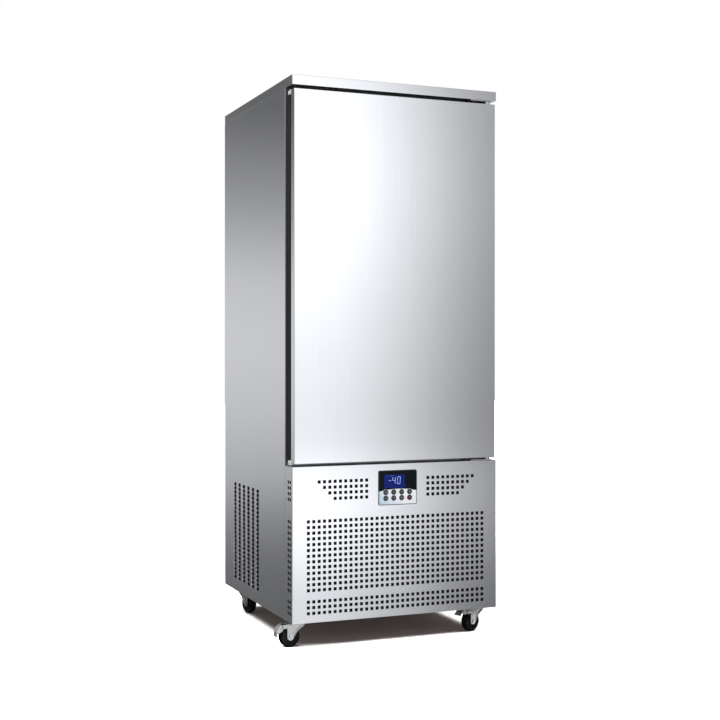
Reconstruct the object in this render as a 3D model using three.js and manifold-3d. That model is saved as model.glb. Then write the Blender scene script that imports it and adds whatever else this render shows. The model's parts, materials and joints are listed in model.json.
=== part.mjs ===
// A fifteen-level reach-in blast chiller on castors. Millimetres, +Z up, front facing -Y.
// The origin is on the floor, under the middle of the cabinet.
import * as THREE from "three";
import { mergeGeometries, mergeVertices } from "three/addons/utils/BufferGeometryUtils.js";
import Module from "manifold-3d";

const wasm = await Module();
wasm.setup();

// ---------------------------------------------------------------- driving dimensions

// Cabinet
const cabinetWidth = 800;
const cabinetDepth = 840; // from the lower front panel's face to the back
const cabinetHeight = 1911; // without the castors
const casterHeight = 92; // floor to the cabinet's lower edge
const sheet = 1.2; // stainless steel sheet
const fit = 0.3; // left between pieces that touch
const skirtHeight = 34.5;
const lowerHeight = 546; // machine compartment's front panel
const bodyFront = 76; // where the side panels begin, behind the front panel's face
const flangeWidth = 20;

// Insulated body
const frameThickness = 8; // door frame
const sideWall = 58.5; // insulation beside the chamber
const rearWall = 72.5; // insulation behind the chamber
const doorOverlap = 45; // of the door over the frame, above and below the chamber
const deckThickness = 2;

// Door
const doorProud = 3; // ahead of the lower front panel
const doorThickness = 61;
const doorSideGap = 6.5;
const doorTopGap = 13.5;
const doorBottomGap = 9.5;
const skinReturn = 32;
const gripDepth = 30;
const gripWall = 3;
const gripInset = 0.6; // grip channel behind the skin's edge
const capHeight = 15;
const capDepth = 35;
const topCapRise = 1.5;
const bottomCapDrop = 6;
const pressedPanelInset = 16;
const pressedPanelRise = 6;
const gasketWidth = 14;
const gasketInset = 5;

// Door hinge
const hingeInset = 25; // from the door's right edge
const hingeSetback = 15; // behind the lower front panel's face
const hingePinRadius = 6;
const hingePinReach = 20; // into the door
const hingeCollarRadius = 10;
const hingeClearance = 0.6;
const bracketThickness = 4;
const bracketWidth = 85;
const bracketOverhang = 12; // beyond the pin, towards the right

// Square perforation of the lower front panel
const holeSize = 10;
const holePitch = 20;
const fieldMargin = 60; // from the panel's side edges to the middle of the first hole
const fieldClearance = 35; // left under the control panel
const upperFieldBottom = 113;
const lowerFieldRows = 3;
const lowerFieldBottom = 33;
const cornerRows = 4;
const cornerColumns = 10; // in the top row; each row below has one less
const cornerDrop = 55; // from the panel's upper edge to the top row
const cornerInnerX = 120; // from the middle of the panel to the nearest hole

// Openings under the side panels' louvres, three louvres to each
const ventColumns = 6;
const ventRows = 8;
const ventWidth = 37.5;
const ventHeight = 41.5;
const ventPitchY = 58.6;
const ventPitchZ = 48;
const ventBackMargin = 147; // from the cabinet's back to the middle of the last column
const ventBottomZ = 75;

// Back panel
const backSlotRows = 14;
const backSlotMargin = 140; // from the cabinet's sides to the slots' ends
const backSlotHeight = 12;
const backSlotPitch = 26;
const backSlotBottomZ = 80;

// Base frame
const baseFloorZ = 4;
const baseFloor = 3;
const baseWallHeight = 21;

// Control panel
const bezelWidth = 150;
const bezelHeight = 124;
const bezelThickness = 1.9;
const bezelCorner = 6;
const bezelDrop = 85.8; // from the lower front panel's upper edge to the bezel's middle
const bezelOverlap = 10; // over the edge of the front panel's opening
const windowWidth = 83;
const windowHeight = 48.5;
const windowX = -12.5;
const windowRise = 22.55; // above the bezel's middle
const windowRecess = 0.3;
const keyRows = 2;
const keyColumns = 4;
const keyRadius = 8.6;
const keyClearance = 0.4;
const keyProud = 0.8;
const keyFlange = 1.6;
const keyFlangeThickness = 0.6;
const keyPitchX = 31.1;
const keyPitchZ = 21.2;
const keyMiddleX = -0.6;
const keyDrop = 26.8; // of the middle of the keys, below the bezel's middle
const controlBoxDepth = 58;

// Refrigerating machine
const compressorRadius = 95;
const compressorHeight = 330;
const compressorFoot = 20;
const compressorSideMargin = 210; // from the cabinet's right side to the compressor's axis
const machineBackMargin = 220; // from the cabinet's back to the compressor's axis
const compressorFootRadius = 11;
const compressorPlateBelow = 4; // of the mounting plate, under and over the can's lower edge
const compressorPlateAbove = 2;
const condenserMargin = 130; // from the cabinet's sides
const condenserHeight = 370;
const condenserDepth = 70;
const condenserY = 95;
const condenserLift = 22;
const plenumDepth = 30;
const condenserFanRadius = 150;
const condenserFanHub = 42;
const condenserMotorRadius = 40;
const condenserMotorLength = 70;
const receiverRadius = 50;
const receiverHeight = 240;
const receiverSideMargin = 250; // from the cabinet's left side
const dischargeRadius = 6;
const suctionRadius = 9;
const pipeClearance = 5;
const pipeOffset = 20; // of each pipe from the compressor's axis, along X and Y
const pipeRise = 75; // of the pipes above the compressor
const pipeBend = 28;
const suctionInset = 30; // from the evaporator's side
const glandSideMargin = 200;
const glandBackMargin = 80;
const glandRadius = 8.5;
const glandDrop = 18;
const glandFlange = 5;

// Chamber
const evaporatorSideGap = 60; // from the chamber's walls
const evaporatorDepth = 60;
const evaporatorWallGap = 16;
const evaporatorLift = 60;
const evaporatorHeadroom = 57.5;
const endPlateMargin = 5; // of a coil's end plates round its fins
const coverDepth = 186;
const coverLift = 30;
const coverHeadroom = 27.5;
const coverSideGap = 12;
const chamberFanRadius = 122;
const chamberFanHub = 36;
const chamberFanSpacing = 500;
const chamberMotorRadius = 32;
const chamberMotorLength = 45;
const rackPitch = 75;
const rackFirst = 60; // lowest ledge above the chamber's floor
const rackFront = 100;
const rackCoverGap = 50;
const rackSheet = 1.5;
const ledgeReach = 48;
const rackTopMargin = 40; // of the upright sheet above the highest ledge
const rackHeadroom = 50;

// Fans
const fanBlades = 5;
const fanDepth = 30;
const fanTip = 7; // running gap round the blades
const bladeThickness = 2;
const bladePitch = THREE.MathUtils.degToRad(28);
const motorArm = 16;
const motorArmSheet = 3;

// Castors
const wheelRadius = 37.5;
const wheelWidth = 25;
const casterTrail = 35;
const casterInset = 46; // from the cabinet's sides
const frontCasterY = 68;
const rearCasterMargin = 124; // from the cabinet's back
const casterPlateLength = 84;
const casterPlateWidth = 64;
const casterPlateThickness = 2.5;
const raceRadius = 23;
const raceHeight = 8;
const kingpinRadius = 5;
const kingpinClearance = 0.8;
const forkSheet = 2.5;
const forkSideGap = 2; // between the wheel and each leg
const forkWheelGap = 3; // above the wheel
const axleRadius = 4;
const axleClearance = 0.4;
const axleHead = 3;
const axleEye = 9;
const brakePivotX = 60;
const brakePivotDrop = 19; // below the cabinet's lower edge
const brakeBarrelRadius = 5;
const brakePinRadius = 2.4;
const brakeArmLength = 32;
const brakeArmSheet = 2.5;
const brakeWidth = 27;
const pressedBrake = THREE.MathUtils.degToRad(35);
const liftedBrake = THREE.MathUtils.degToRad(-8);

// Way each castor trails, from +X towards +Y
const frontLeftTrail = THREE.MathUtils.degToRad(183);
const frontRightTrail = THREE.MathUtils.degToRad(198);
const rearLeftTrail = THREE.MathUtils.degToRad(-75);
const rearRightTrail = THREE.MathUtils.degToRad(-110);

// Sides of the round solids
const fineSides = 24;
const roundSides = 16;
const smallSides = 12;
const pipeSides = 8;
const wheelSides = 20;
const pipeSteps = 22;

// ---------------------------------------------------------------- sizes that follow

const halfWidth = cabinetWidth / 2;
const panelTop = cabinetHeight - skirtHeight;
const bodyHalfWidth = halfWidth - sheet - fit;
const bodyBack = cabinetDepth - sheet - fit;
const frameBack = bodyFront - fit;
const frameFace = frameBack - frameThickness;
const doorWidth = cabinetWidth - 2 * doorSideGap;
const doorBottom = lowerHeight + doorBottomGap;
const doorTop = panelTop - doorTopGap;
const doorHeight = doorTop - doorBottom;
const chamberBottom = doorBottom + doorOverlap;
const chamberTop = doorTop - doorOverlap;
const chamberHalfWidth = bodyHalfWidth - sideWall;
const chamberBack = bodyBack - rearWall;
const coverY = chamberBack - coverDepth;
const baseTop = baseFloorZ + baseFloor;
const deckHalfWidth = halfWidth - flangeWidth - fit;
const hingeX = halfWidth - doorSideGap - hingeInset;
const casterX = halfWidth - casterInset;
const axleZ = wheelRadius - casterHeight;
const bezelMiddleZ = lowerHeight - bezelDrop;
const bezelBottomZ = bezelMiddleZ - bezelHeight / 2;
const windowZ = bezelMiddleZ + windowRise;
const evaporatorHalfWidth = chamberHalfWidth - evaporatorSideGap;
const condenserHalfWidth = halfWidth - condenserMargin;
const compressorX = halfWidth - compressorSideMargin;
const compressorY = cabinetDepth - machineBackMargin;
const receiverX = receiverSideMargin - halfWidth;
const glandX = glandSideMargin - halfWidth;
const glandY = cabinetDepth - glandBackMargin;
const suctionX = evaporatorHalfWidth - suctionInset;
const suctionY = chamberBack - evaporatorWallGap - evaporatorDepth / 2;
const evaporatorBottom = chamberBottom + evaporatorLift;
const condenserBottom = baseTop + condenserLift;
const condenserBack = condenserY + condenserDepth;
const condenserTop = condenserBottom + condenserHeight;
const compressorTop = baseTop + compressorFoot + compressorHeight;

// ---------------------------------------------------------------- finishes

const stainless = { color: 0xc6c7ca, roughness: 0.34, metalness: 1 };
const blackPlastic = { color: 0x2a2a2e, roughness: 0.55, metalness: 0 };
const palePlastic = { color: 0xe6e6e4, roughness: 0.5, metalness: 0 };
const rubber = { color: 0x17171a, roughness: 0.8, metalness: 0 };
const foam = { color: 0xd9c98f, roughness: 0.95, metalness: 0 };
const galvanised = { color: 0xb9bcc0, roughness: 0.45, metalness: 0.9 };
const zinc = { color: 0xc2c3c4, roughness: 0.3, metalness: 1 };
const bezelBlack = { color: 0x12181b, roughness: 0.3, metalness: 0 };
const displayBlue = { color: 0x1b1f8a, roughness: 0.15, metalness: 0 };
const keyBlack = { color: 0x22262b, roughness: 0.4, metalness: 0 };
const keyRed = { color: 0x6e1a20, roughness: 0.4, metalness: 0 };
const blackEnamel = { color: 0x1b1b1d, roughness: 0.5, metalness: 0.2 };
const aluminiumFins = { color: 0xbfc3c6, roughness: 0.5, metalness: 0.9 };
const copper = { color: 0xb4714a, roughness: 0.35, metalness: 1 };
const fanGrey = { color: 0x3a3c40, roughness: 0.5, metalness: 0.2 };

// ---------------------------------------------------------------- making solids

// A box between two corners, whichever of each pair is the larger.
function block(x0, x1, y0, y1, z0, z1) {
  const geometry = new THREE.BoxGeometry(Math.abs(x1 - x0), Math.abs(y1 - y0), Math.abs(z1 - z0));
  return geometry.translate((x0 + x1) / 2, (y0 + y1) / 2, (z0 + z1) / 2);
}

// An upright cylinder between z0 and z1.
function post(radius, x, y, z0, z1, sides) {
  const geometry = new THREE.CylinderGeometry(radius, radius, Math.abs(z1 - z0), sides);
  return geometry.rotateX(Math.PI / 2).translate(x, y, (z0 + z1) / 2);
}

// A cylinder along Y, from y0 to y1.
function rod(radius, x, z, y0, y1, sides) {
  const geometry = new THREE.CylinderGeometry(radius, radius, y1 - y0, sides);
  return geometry.translate(x, (y0 + y1) / 2, z);
}

// An outline of [x, y] points drawn upwards from z0 to z1.
function prismZ(points, z0, z1) {
  const shape = new THREE.Shape(points.map(([x, y]) => new THREE.Vector2(x, y)));
  const geometry = new THREE.ExtrudeGeometry(shape, { depth: z1 - z0, bevelEnabled: false });
  return geometry.translate(0, 0, z0);
}

// A shape of (x, z) drawn along Y, from y0 to y1.
function prismY(shape, y0, y1) {
  const geometry = new THREE.ExtrudeGeometry(shape, {
    depth: y1 - y0,
    bevelEnabled: false,
    curveSegments: 5,
  });
  return geometry.rotateX(Math.PI / 2).translate(0, y1, 0);
}

// A profile of [radius, height] points turned about Z, closed on the axis.
function turned(points, sides) {
  const profile = points.map(([r, z]) => new THREE.Vector2(r, z));
  return new THREE.LatheGeometry(profile, sides).rotateX(Math.PI / 2);
}

function solidOf(geometry) {
  const bare = geometry.clone();
  bare.deleteAttribute("normal");
  bare.deleteAttribute("uv");
  const merged = mergeVertices(bare, 1e-4);
  return new wasm.Manifold(
    new wasm.Mesh({
      numProp: 3,
      vertProperties: new Float32Array(merged.attributes.position.array),
      triVerts: new Uint32Array(merged.index.array),
    }),
  );
}

function geometryOf(solid) {
  const mesh = solid.getMesh();
  const geometry = new THREE.BufferGeometry();
  const positions = new Float32Array(mesh.vertProperties);
  geometry.setAttribute("position", new THREE.BufferAttribute(positions, 3));
  geometry.setIndex(new THREE.BufferAttribute(new Uint32Array(mesh.triVerts), 1));
  geometry.computeVertexNormals();
  return geometry;
}

function join(...geometries) {
  return geometryOf(geometries.map(solidOf).reduce((whole, part) => whole.add(part)));
}

function cut(geometry, ...cutters) {
  const whole = solidOf(geometry);
  return geometryOf(cutters.map(solidOf).reduce((left, part) => left.subtract(part), whole));
}

// Many holes that keep clear of each other, cut in one go.
function perforate(geometry, holes) {
  return cut(geometry, mergeGeometries(holes));
}

function add(parent, name, geometry, finish) {
  const mesh = new THREE.Mesh(geometry, new THREE.MeshStandardMaterial(finish));
  mesh.name = name;
  parent.add(mesh);
  return mesh;
}

function addGroup(parent, x, y, z) {
  const group = new THREE.Group();
  group.position.set(x, y, z);
  parent.add(group);
  return group;
}

// ---------------------------------------------------------------- cabinet

function topPanel() {
  const low = panelTop;
  const high = cabinetHeight;
  const inner = halfWidth - sheet;
  const body = block(-halfWidth, halfWidth, 0, cabinetDepth, low, high);
  const overBody = block(-inner, inner, bodyFront, cabinetDepth - sheet, low - sheet, high - sheet);
  const overDoor = block(-inner, inner, sheet, bodyFront + sheet, low + sheet, high - sheet);
  return cut(body, overBody, overDoor);
}

function sideVents(side) {
  const holes = [];
  for (let column = 0; column < ventColumns; column += 1) {
    const y = cabinetDepth - ventBackMargin - column * ventPitchY;
    for (let row = 0; row < ventRows; row += 1) {
      const z = ventBottomZ + row * ventPitchZ;
      const hole = new THREE.BoxGeometry(6 * sheet, ventWidth, ventHeight);
      holes.push(hole.translate(side * halfWidth, y, z));
    }
  }
  return holes;
}

// side is -1 on the left and 1 on the right
function sidePanel(side) {
  const top = panelTop - fit;
  const outer = side * halfWidth;
  const inner = side * (halfWidth - sheet);
  const flangeEdge = side * (halfWidth - flangeWidth);
  const flangeBottom = baseFloorZ + baseWallHeight + fit;
  const web = block(inner, outer, bodyFront, bodyBack, 0, top);
  const flange = block(flangeEdge, outer, bodyFront, bodyFront + sheet, flangeBottom, top);
  return perforate(join(web, flange), sideVents(side));
}

function backPanel() {
  const sheetBody = block(-halfWidth, halfWidth, cabinetDepth - sheet, cabinetDepth, 0, panelTop - fit);
  const slots = [];
  for (let row = 0; row < backSlotRows; row += 1) {
    const slot = new THREE.BoxGeometry(cabinetWidth - 2 * backSlotMargin, 6 * sheet, backSlotHeight);
    slots.push(slot.translate(0, cabinetDepth, backSlotBottomZ + row * backSlotPitch));
  }
  return perforate(sheetBody, slots);
}

function suctionPassage(z0, z1) {
  return post(suctionRadius + pipeClearance, suctionX, suctionY, z0, z1, smallSides);
}

function cabinetFoam() {
  const front = bodyFront + sheet + fit;
  const top = cabinetHeight - sheet - fit;
  const shell = block(-bodyHalfWidth, bodyHalfWidth, front, bodyBack, lowerHeight, top);
  const gap = sheet + fit;
  const cavity = block(
    -chamberHalfWidth - gap,
    chamberHalfWidth + gap,
    front - sheet,
    chamberBack + gap,
    chamberBottom - gap,
    chamberTop + gap,
  );
  return cut(shell, cavity, suctionPassage(lowerHeight - sheet, chamberBottom));
}

function innerLiner() {
  const x = chamberHalfWidth;
  const low = chamberBottom - sheet;
  const high = chamberTop + sheet;
  const flange = doorOverlap / 2;
  const box = block(-x - sheet, x + sheet, bodyFront, chamberBack + sheet, low, high);
  const rim = block(-x - flange, x + flange, bodyFront, bodyFront + sheet, low - flange, high + flange);
  const chamber = block(-x, x, bodyFront - sheet, chamberBack, chamberBottom, chamberTop);
  return cut(join(box, rim), chamber, suctionPassage(low - sheet, chamberBottom + sheet));
}

function doorFrame() {
  const ring = block(-halfWidth, halfWidth, frameFace, frameBack, lowerHeight + fit, panelTop - fit);
  const x = chamberHalfWidth;
  return cut(ring, block(-x, x, frameFace - fit, frameBack + fit, chamberBottom, chamberTop));
}

function baseFrame() {
  const wall = baseFloor;
  const front = sheet + fit;
  const top = baseFloorZ + baseWallHeight;
  const body = block(-bodyHalfWidth, bodyHalfWidth, front, bodyBack, baseFloorZ, top);
  const inside = block(
    -bodyHalfWidth + wall,
    bodyHalfWidth - wall,
    front + wall,
    bodyBack - wall,
    baseTop,
    top + wall,
  );
  const glandHole = post(glandRadius + fit, glandX, glandY, 0, top, smallSides);
  return cut(body, inside, glandHole);
}

function machineDeck() {
  const top = lowerHeight - fit;
  const x = deckHalfWidth;
  const deck = block(-x, x, bodyFront + sheet + fit, bodyBack, top - deckThickness, top);
  return cut(deck, suctionPassage(top - 2 * deckThickness, top + deckThickness));
}

function addCabinet(unit) {
  add(unit, "top_panel", topPanel(), stainless);
  add(unit, "left_side_panel", sidePanel(-1), stainless);
  add(unit, "right_side_panel", sidePanel(1), stainless);
  add(unit, "back_panel", backPanel(), stainless);
  add(unit, "cabinet_foam", cabinetFoam(), foam);
  add(unit, "inner_liner", innerLiner(), stainless);
  add(unit, "door_frame", doorFrame(), blackPlastic);
  add(unit, "base_frame", baseFrame(), galvanised);
  add(unit, "machine_deck", machineDeck(), galvanised);
}

// ---------------------------------------------------------------- lower front panel

function squareHole(x, z) {
  return new THREE.BoxGeometry(holeSize, 6 * sheet, holeSize).translate(x, 0, z);
}

function holeField(rows, bottom) {
  const holes = [];
  const gaps = Math.floor((cabinetWidth - 2 * fieldMargin) / holePitch);
  for (let row = 0; row < rows; row += 1) {
    for (let column = 0; column <= gaps; column += 1) {
      holes.push(squareHole((column - gaps / 2) * holePitch, bottom + row * holePitch));
    }
  }
  return holes;
}

// The slanted groups of holes beside the control panel.
function holeCorners() {
  const holes = [];
  for (let row = 0; row < cornerRows; row += 1) {
    for (let column = 0; column < cornerColumns - row; column += 1) {
      const x = cornerInnerX + column * holePitch;
      const z = lowerHeight - cornerDrop - row * holePitch;
      holes.push(squareHole(-x, z), squareHole(x, z));
    }
  }
  return holes;
}

function frontPanel() {
  const inner = halfWidth - sheet;
  const depth = bodyFront - fit;
  const body = block(-halfWidth, halfWidth, 0, depth, 0, lowerHeight);
  const inside = block(-inner, inner, sheet, depth + sheet, -sheet, lowerHeight - sheet);
  const openingX = bezelWidth / 2 - bezelOverlap;
  const openingZ = bezelHeight / 2 - bezelOverlap;
  const opening = block(
    -openingX,
    openingX,
    -sheet,
    2 * sheet,
    bezelMiddleZ - openingZ,
    bezelMiddleZ + openingZ,
  );
  const upperFieldSpace = bezelBottomZ - fieldClearance - upperFieldBottom;
  const holes = [
    ...holeField(1 + Math.floor(upperFieldSpace / holePitch), upperFieldBottom),
    ...holeField(lowerFieldRows, lowerFieldBottom),
    ...holeCorners(),
  ];
  return perforate(cut(body, inside, opening), holes);
}

// ---------------------------------------------------------------- door, about its hinge axis

const doorRight = hingeInset;
const doorLeft = hingeInset - doorWidth;
const doorFront = -hingeSetback - doorProud;
const doorRear = doorFront + doorThickness;
const skinRear = doorFront + skinReturn;
const gripRight = doorLeft + gripDepth;

function hingePinHole(z0, z1) {
  return post(hingePinRadius + hingeClearance, 0, 0, z0, z1, smallSides);
}

function doorSkin() {
  const body = block(doorLeft, doorRight, doorFront, skinRear, 0, doorHeight);
  const inside = block(
    doorLeft + sheet,
    doorRight - sheet,
    doorFront + sheet,
    skinRear + sheet,
    sheet,
    doorHeight - sheet,
  );
  return cut(body, inside, hingePinHole(-sheet, doorHeight + sheet));
}

function doorFoam() {
  const gap = sheet + fit;
  const left = doorLeft + gap;
  const right = doorRight - gap;
  const front = doorFront + gap;
  const rear = doorRear - gap;
  const step = gripRight + fit + gap;
  const outline = [
    [left, front],
    [right, front],
    [right, rear],
    [step, rear],
    [step, skinRear],
    [left, skinRear],
  ];
  const reach = hingePinReach + fit;
  const low = hingePinHole(0, reach);
  const high = hingePinHole(doorHeight - reach, doorHeight);
  return cut(prismZ(outline, gap, doorHeight - gap), low, high);
}

function doorLiner() {
  const left = gripRight + fit;
  const front = skinRear + fit;
  const half = chamberHalfWidth - pressedPanelInset;
  const low = chamberBottom + pressedPanelInset - doorBottom;
  const high = chamberTop - pressedPanelInset - doorBottom;
  const tray = block(left, doorRight, front, doorRear, 0, doorHeight);
  const rise = doorRear + pressedPanelRise;
  const pressed = block(-hingeX - half, -hingeX + half, front, rise, low, high);
  const trayInside = block(
    left + sheet,
    doorRight - sheet,
    front - sheet,
    doorRear - sheet,
    sheet,
    doorHeight - sheet,
  );
  const hollow = half - sheet;
  const pressedInside = block(
    -hingeX - hollow,
    -hingeX + hollow,
    front - sheet,
    rise - sheet,
    low + sheet,
    high - sheet,
  );
  return cut(join(tray, pressed), trayInside, pressedInside);
}

function doorGasket() {
  const innerX = chamberHalfWidth + gasketInset;
  const outerX = innerX + gasketWidth;
  const innerLow = chamberBottom - gasketInset - doorBottom;
  const innerHigh = chamberTop + gasketInset - doorBottom;
  const near = doorRear + fit;
  const far = frameFace - fit - hingeSetback;
  const ring = block(
    -hingeX - outerX,
    -hingeX + outerX,
    near,
    far,
    innerLow - gasketWidth,
    innerHigh + gasketWidth,
  );
  const middle = block(-hingeX - innerX, -hingeX + innerX, near - fit, far + fit, innerLow, innerHigh);
  return cut(ring, middle);
}

function gripCap(z0) {
  return block(doorLeft, gripRight, skinRear + fit, skinRear + fit + capDepth, z0, z0 + capHeight);
}

// A channel that fingers reach into from the left, between the two end caps.
function doorGrip(z0, z1) {
  const left = doorLeft + gripInset;
  const front = skinRear + fit;
  const outline = [
    [left, front],
    [gripRight, front],
    [gripRight, doorRear],
    [left, doorRear],
    [left, doorRear - gripWall],
    [gripRight - gripWall, doorRear - gripWall],
    [gripRight - gripWall, front + gripWall],
    [left, front + gripWall],
  ];
  return prismZ(outline, z0, z1);
}

function addDoor(unit) {
  const door = addGroup(unit, hingeX, hingeSetback, doorBottom);
  const bottomCapTop = capHeight - bottomCapDrop;
  const topCapBottom = doorHeight + topCapRise - capHeight;
  add(door, "door_skin", doorSkin(), stainless);
  add(door, "door_foam", doorFoam(), foam);
  add(door, "door_liner", doorLiner(), stainless);
  add(door, "door_gasket", doorGasket(), rubber);
  add(door, "door_grip", doorGrip(bottomCapTop + fit, topCapBottom - fit), blackPlastic);
  add(door, "grip_cap_bottom", gripCap(-bottomCapDrop), palePlastic);
  add(door, "grip_cap_top", gripCap(topCapBottom), palePlastic);
}

// A flat bracket whose pin reaches into the door, around the hinge axis, with the door's edge
// at z = 0. space is the gap between that edge and what the bracket is screwed to, and way is
// 1 for a pin that points up and -1 for one that points down.
function hingeBracket(space, way) {
  const front = -hingeSetback + sheet;
  const rear = frameFace - fit - hingeSetback;
  const outside = way * (fit - space);
  const inside = way * (fit - space + bracketThickness);
  const left = bracketOverhang - bracketWidth;
  const plate = block(left, bracketOverhang, front, rear, outside, inside);
  const collar = post(hingeCollarRadius, 0, 0, outside, -way * fit, smallSides);
  const pin = post(hingePinRadius, 0, 0, outside, way * hingePinReach, smallSides);
  return join(plate, collar, pin);
}

function addHinges(unit) {
  const bottom = addGroup(unit, hingeX, hingeSetback, doorBottom);
  add(bottom, "hinge_bracket_bottom", hingeBracket(doorBottomGap, 1), zinc);
  const top = addGroup(unit, hingeX, hingeSetback, doorTop);
  add(top, "hinge_bracket_top", hingeBracket(doorTopGap, -1), zinc);
}

// ---------------------------------------------------------------- control panel

function keyPlaces() {
  const places = [];
  for (let row = 0; row < keyRows; row += 1) {
    for (let column = 0; column < keyColumns; column += 1) {
      const x = keyMiddleX + (column - (keyColumns - 1) / 2) * keyPitchX;
      const z = bezelMiddleZ - keyDrop - (row - (keyRows - 1) / 2) * keyPitchZ;
      places.push([x, z]);
    }
  }
  return places;
}

function bezelShape() {
  const x = bezelWidth / 2;
  const z = bezelHeight / 2;
  const r = bezelCorner;
  const shape = new THREE.Shape();
  shape.absarc(x - r, z - r, r, 0, Math.PI / 2);
  shape.absarc(-x + r, z - r, r, Math.PI / 2, Math.PI);
  shape.absarc(-x + r, -z + r, r, Math.PI, 1.5 * Math.PI);
  shape.absarc(x - r, -z + r, r, 1.5 * Math.PI, 2 * Math.PI);
  return shape;
}

function controlBezel() {
  const back = -fit;
  const face = back - bezelThickness;
  const plate = prismY(bezelShape(), face, back).translate(0, 0, bezelMiddleZ);
  const window = block(
    windowX - windowWidth / 2,
    windowX + windowWidth / 2,
    face - sheet,
    back + sheet,
    windowZ - windowHeight / 2,
    windowZ + windowHeight / 2,
  );
  const keyHoles = keyPlaces().map(([x, z]) =>
    rod(keyRadius + keyClearance, x, z, face - sheet, back + sheet, smallSides),
  );
  return perforate(plate, [window, ...keyHoles]);
}

function displayWindow() {
  const face = -fit - bezelThickness + windowRecess;
  const halfX = windowWidth / 2 - fit;
  const halfZ = windowHeight / 2 - fit;
  return block(windowX - halfX, windowX + halfX, face, sheet, windowZ - halfZ, windowZ + halfZ);
}

// A key about its own middle, with the bezel's face at y = 0 behind its own.
function controlKey() {
  const rear = bezelThickness + fit;
  const profile = [
    [0, keyProud],
    [keyRadius, keyProud],
    [keyRadius, -rear],
    [keyRadius + keyFlange, -rear],
    [keyRadius + keyFlange, -rear - keyFlangeThickness],
    [0, -rear - keyFlangeThickness],
  ];
  return turned(profile.reverse(), smallSides).rotateX(Math.PI / 2);
}

function controlBox() {
  const front = sheet + fit;
  const x = bezelWidth / 2;
  const z = bezelHeight / 2;
  return block(-x, x, front, front + controlBoxDepth, bezelMiddleZ - z, bezelMiddleZ + z);
}

function addControls(unit) {
  add(unit, "front_panel", frontPanel(), stainless);
  add(unit, "control_bezel", controlBezel(), bezelBlack);
  add(unit, "display_window", displayWindow(), displayBlue);
  add(unit, "control_box", controlBox(), blackPlastic);
  const last = keyRows * keyColumns;
  keyPlaces().forEach(([x, z], index) => {
    const finish = index + 1 === last ? keyRed : keyBlack;
    const key = add(unit, "key_" + (index + 1), controlKey(), finish);
    key.position.set(x, -fit - bezelThickness, z);
  });
}

// ---------------------------------------------------------------- fans and their motors

// A fan about the Y axis, from y = 0 backwards.
function fan(radius, hubRadius) {
  const root = hubRadius * 0.8;
  const blade = new THREE.Shape();
  blade.moveTo(root, -0.22 * hubRadius * 2);
  blade.quadraticCurveTo(0.7 * radius, -0.42 * radius, 0.94 * radius, -0.3 * radius);
  blade.quadraticCurveTo(1.01 * radius, 0, 0.9 * radius, 0.22 * radius);
  blade.quadraticCurveTo(0.6 * radius, 0.2 * radius, root, 0.22 * hubRadius * 2);
  const hub = rod(hubRadius, 0, 0, 0, fanDepth, roundSides);
  const blades = [];
  for (let index = 0; index < fanBlades; index += 1) {
    const flat = new THREE.ExtrudeGeometry(blade, {
      depth: bladeThickness,
      bevelEnabled: false,
      curveSegments: 2,
    });
    flat.rotateX(Math.PI / 2 + bladePitch);
    flat.rotateY((index * 2 * Math.PI) / fanBlades);
    blades.push(flat.translate(0, fanDepth / 2, 0));
  }
  return join(hub, ...blades);
}

// A motor behind a fan, on an arm that reaches the plate round the fan's opening.
// y = 0 is the front of the fan; plateY is the plate's rear face.
function fanMotor(radius, length, opening, plateY) {
  const front = fanDepth + fit;
  const armFront = front + length;
  const armBack = armFront + motorArmSheet;
  const span = opening + 2 * motorArm;
  const half = motorArm / 2;
  const can = rod(radius, 0, 0, front, armFront + motorArmSheet / 2, roundSides);
  const arm = block(-span, span, armFront, armBack, -half, half);
  const leftLeg = block(-span, -span + motorArmSheet, plateY + fit, armBack, -half, half);
  const rightLeg = block(span - motorArmSheet, span, plateY + fit, armBack, -half, half);
  return join(can, arm, leftLeg, rightLeg);
}

// ---------------------------------------------------------------- refrigerating machine

function compressor() {
  const r = compressorRadius;
  const foot = compressorFoot;
  const top = foot + compressorHeight;
  const can = turned(
    [
      [0, foot],
      [0.86 * r, foot],
      [r, foot + 0.16 * r],
      [r, top - 0.4 * r],
      [0.8 * r, top - 0.12 * r],
      [0.5 * r, top],
      [0, top],
    ],
    roundSides,
  );
  const plateLow = foot - compressorPlateBelow;
  const plateHigh = foot + compressorPlateAbove;
  const plate = block(-1.12 * r, 1.12 * r, -0.85 * r, 0.85 * r, plateLow, plateHigh);
  const terminalBox = block(-1.35 * r, -0.8 * r, -0.35 * r, 0.35 * r, 0.4 * top, 0.72 * top);
  const feet = [];
  for (const x of [-r, r]) {
    for (const y of [-0.7 * r, 0.7 * r]) {
      feet.push(post(compressorFootRadius, x, y, fit, foot, pipeSides));
    }
  }
  return join(can, plate, terminalBox, ...feet);
}

function condenser() {
  const x = condenserHalfWidth;
  const y0 = condenserY;
  const y1 = condenserBack;
  const y2 = y1 + plenumDepth;
  const z0 = condenserBottom;
  const z1 = condenserTop;
  const core = block(-x, x, y0, y1, z0, z1);
  const endPlates = [-1, 1].map((side) => {
    const middle = side * x;
    const front = y0 - endPlateMargin;
    return block(middle - sheet, middle + sheet, front, y1, baseTop + fit, z1 + endPlateMargin);
  });
  const plenum = block(-x, x, y1 - sheet, y2, z0, z1);
  const plenumInside = block(-x + sheet, x - sheet, y1, y2 - sheet, z0 + sheet, z1 - sheet);
  const middleZ = (z0 + z1) / 2;
  const opening = rod(condenserFanRadius + fanTip, 0, middleZ, y1 + sheet, y2 + sheet, fineSides);
  return join(core, ...endPlates, cut(plenum, plenumInside, opening));
}

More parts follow.
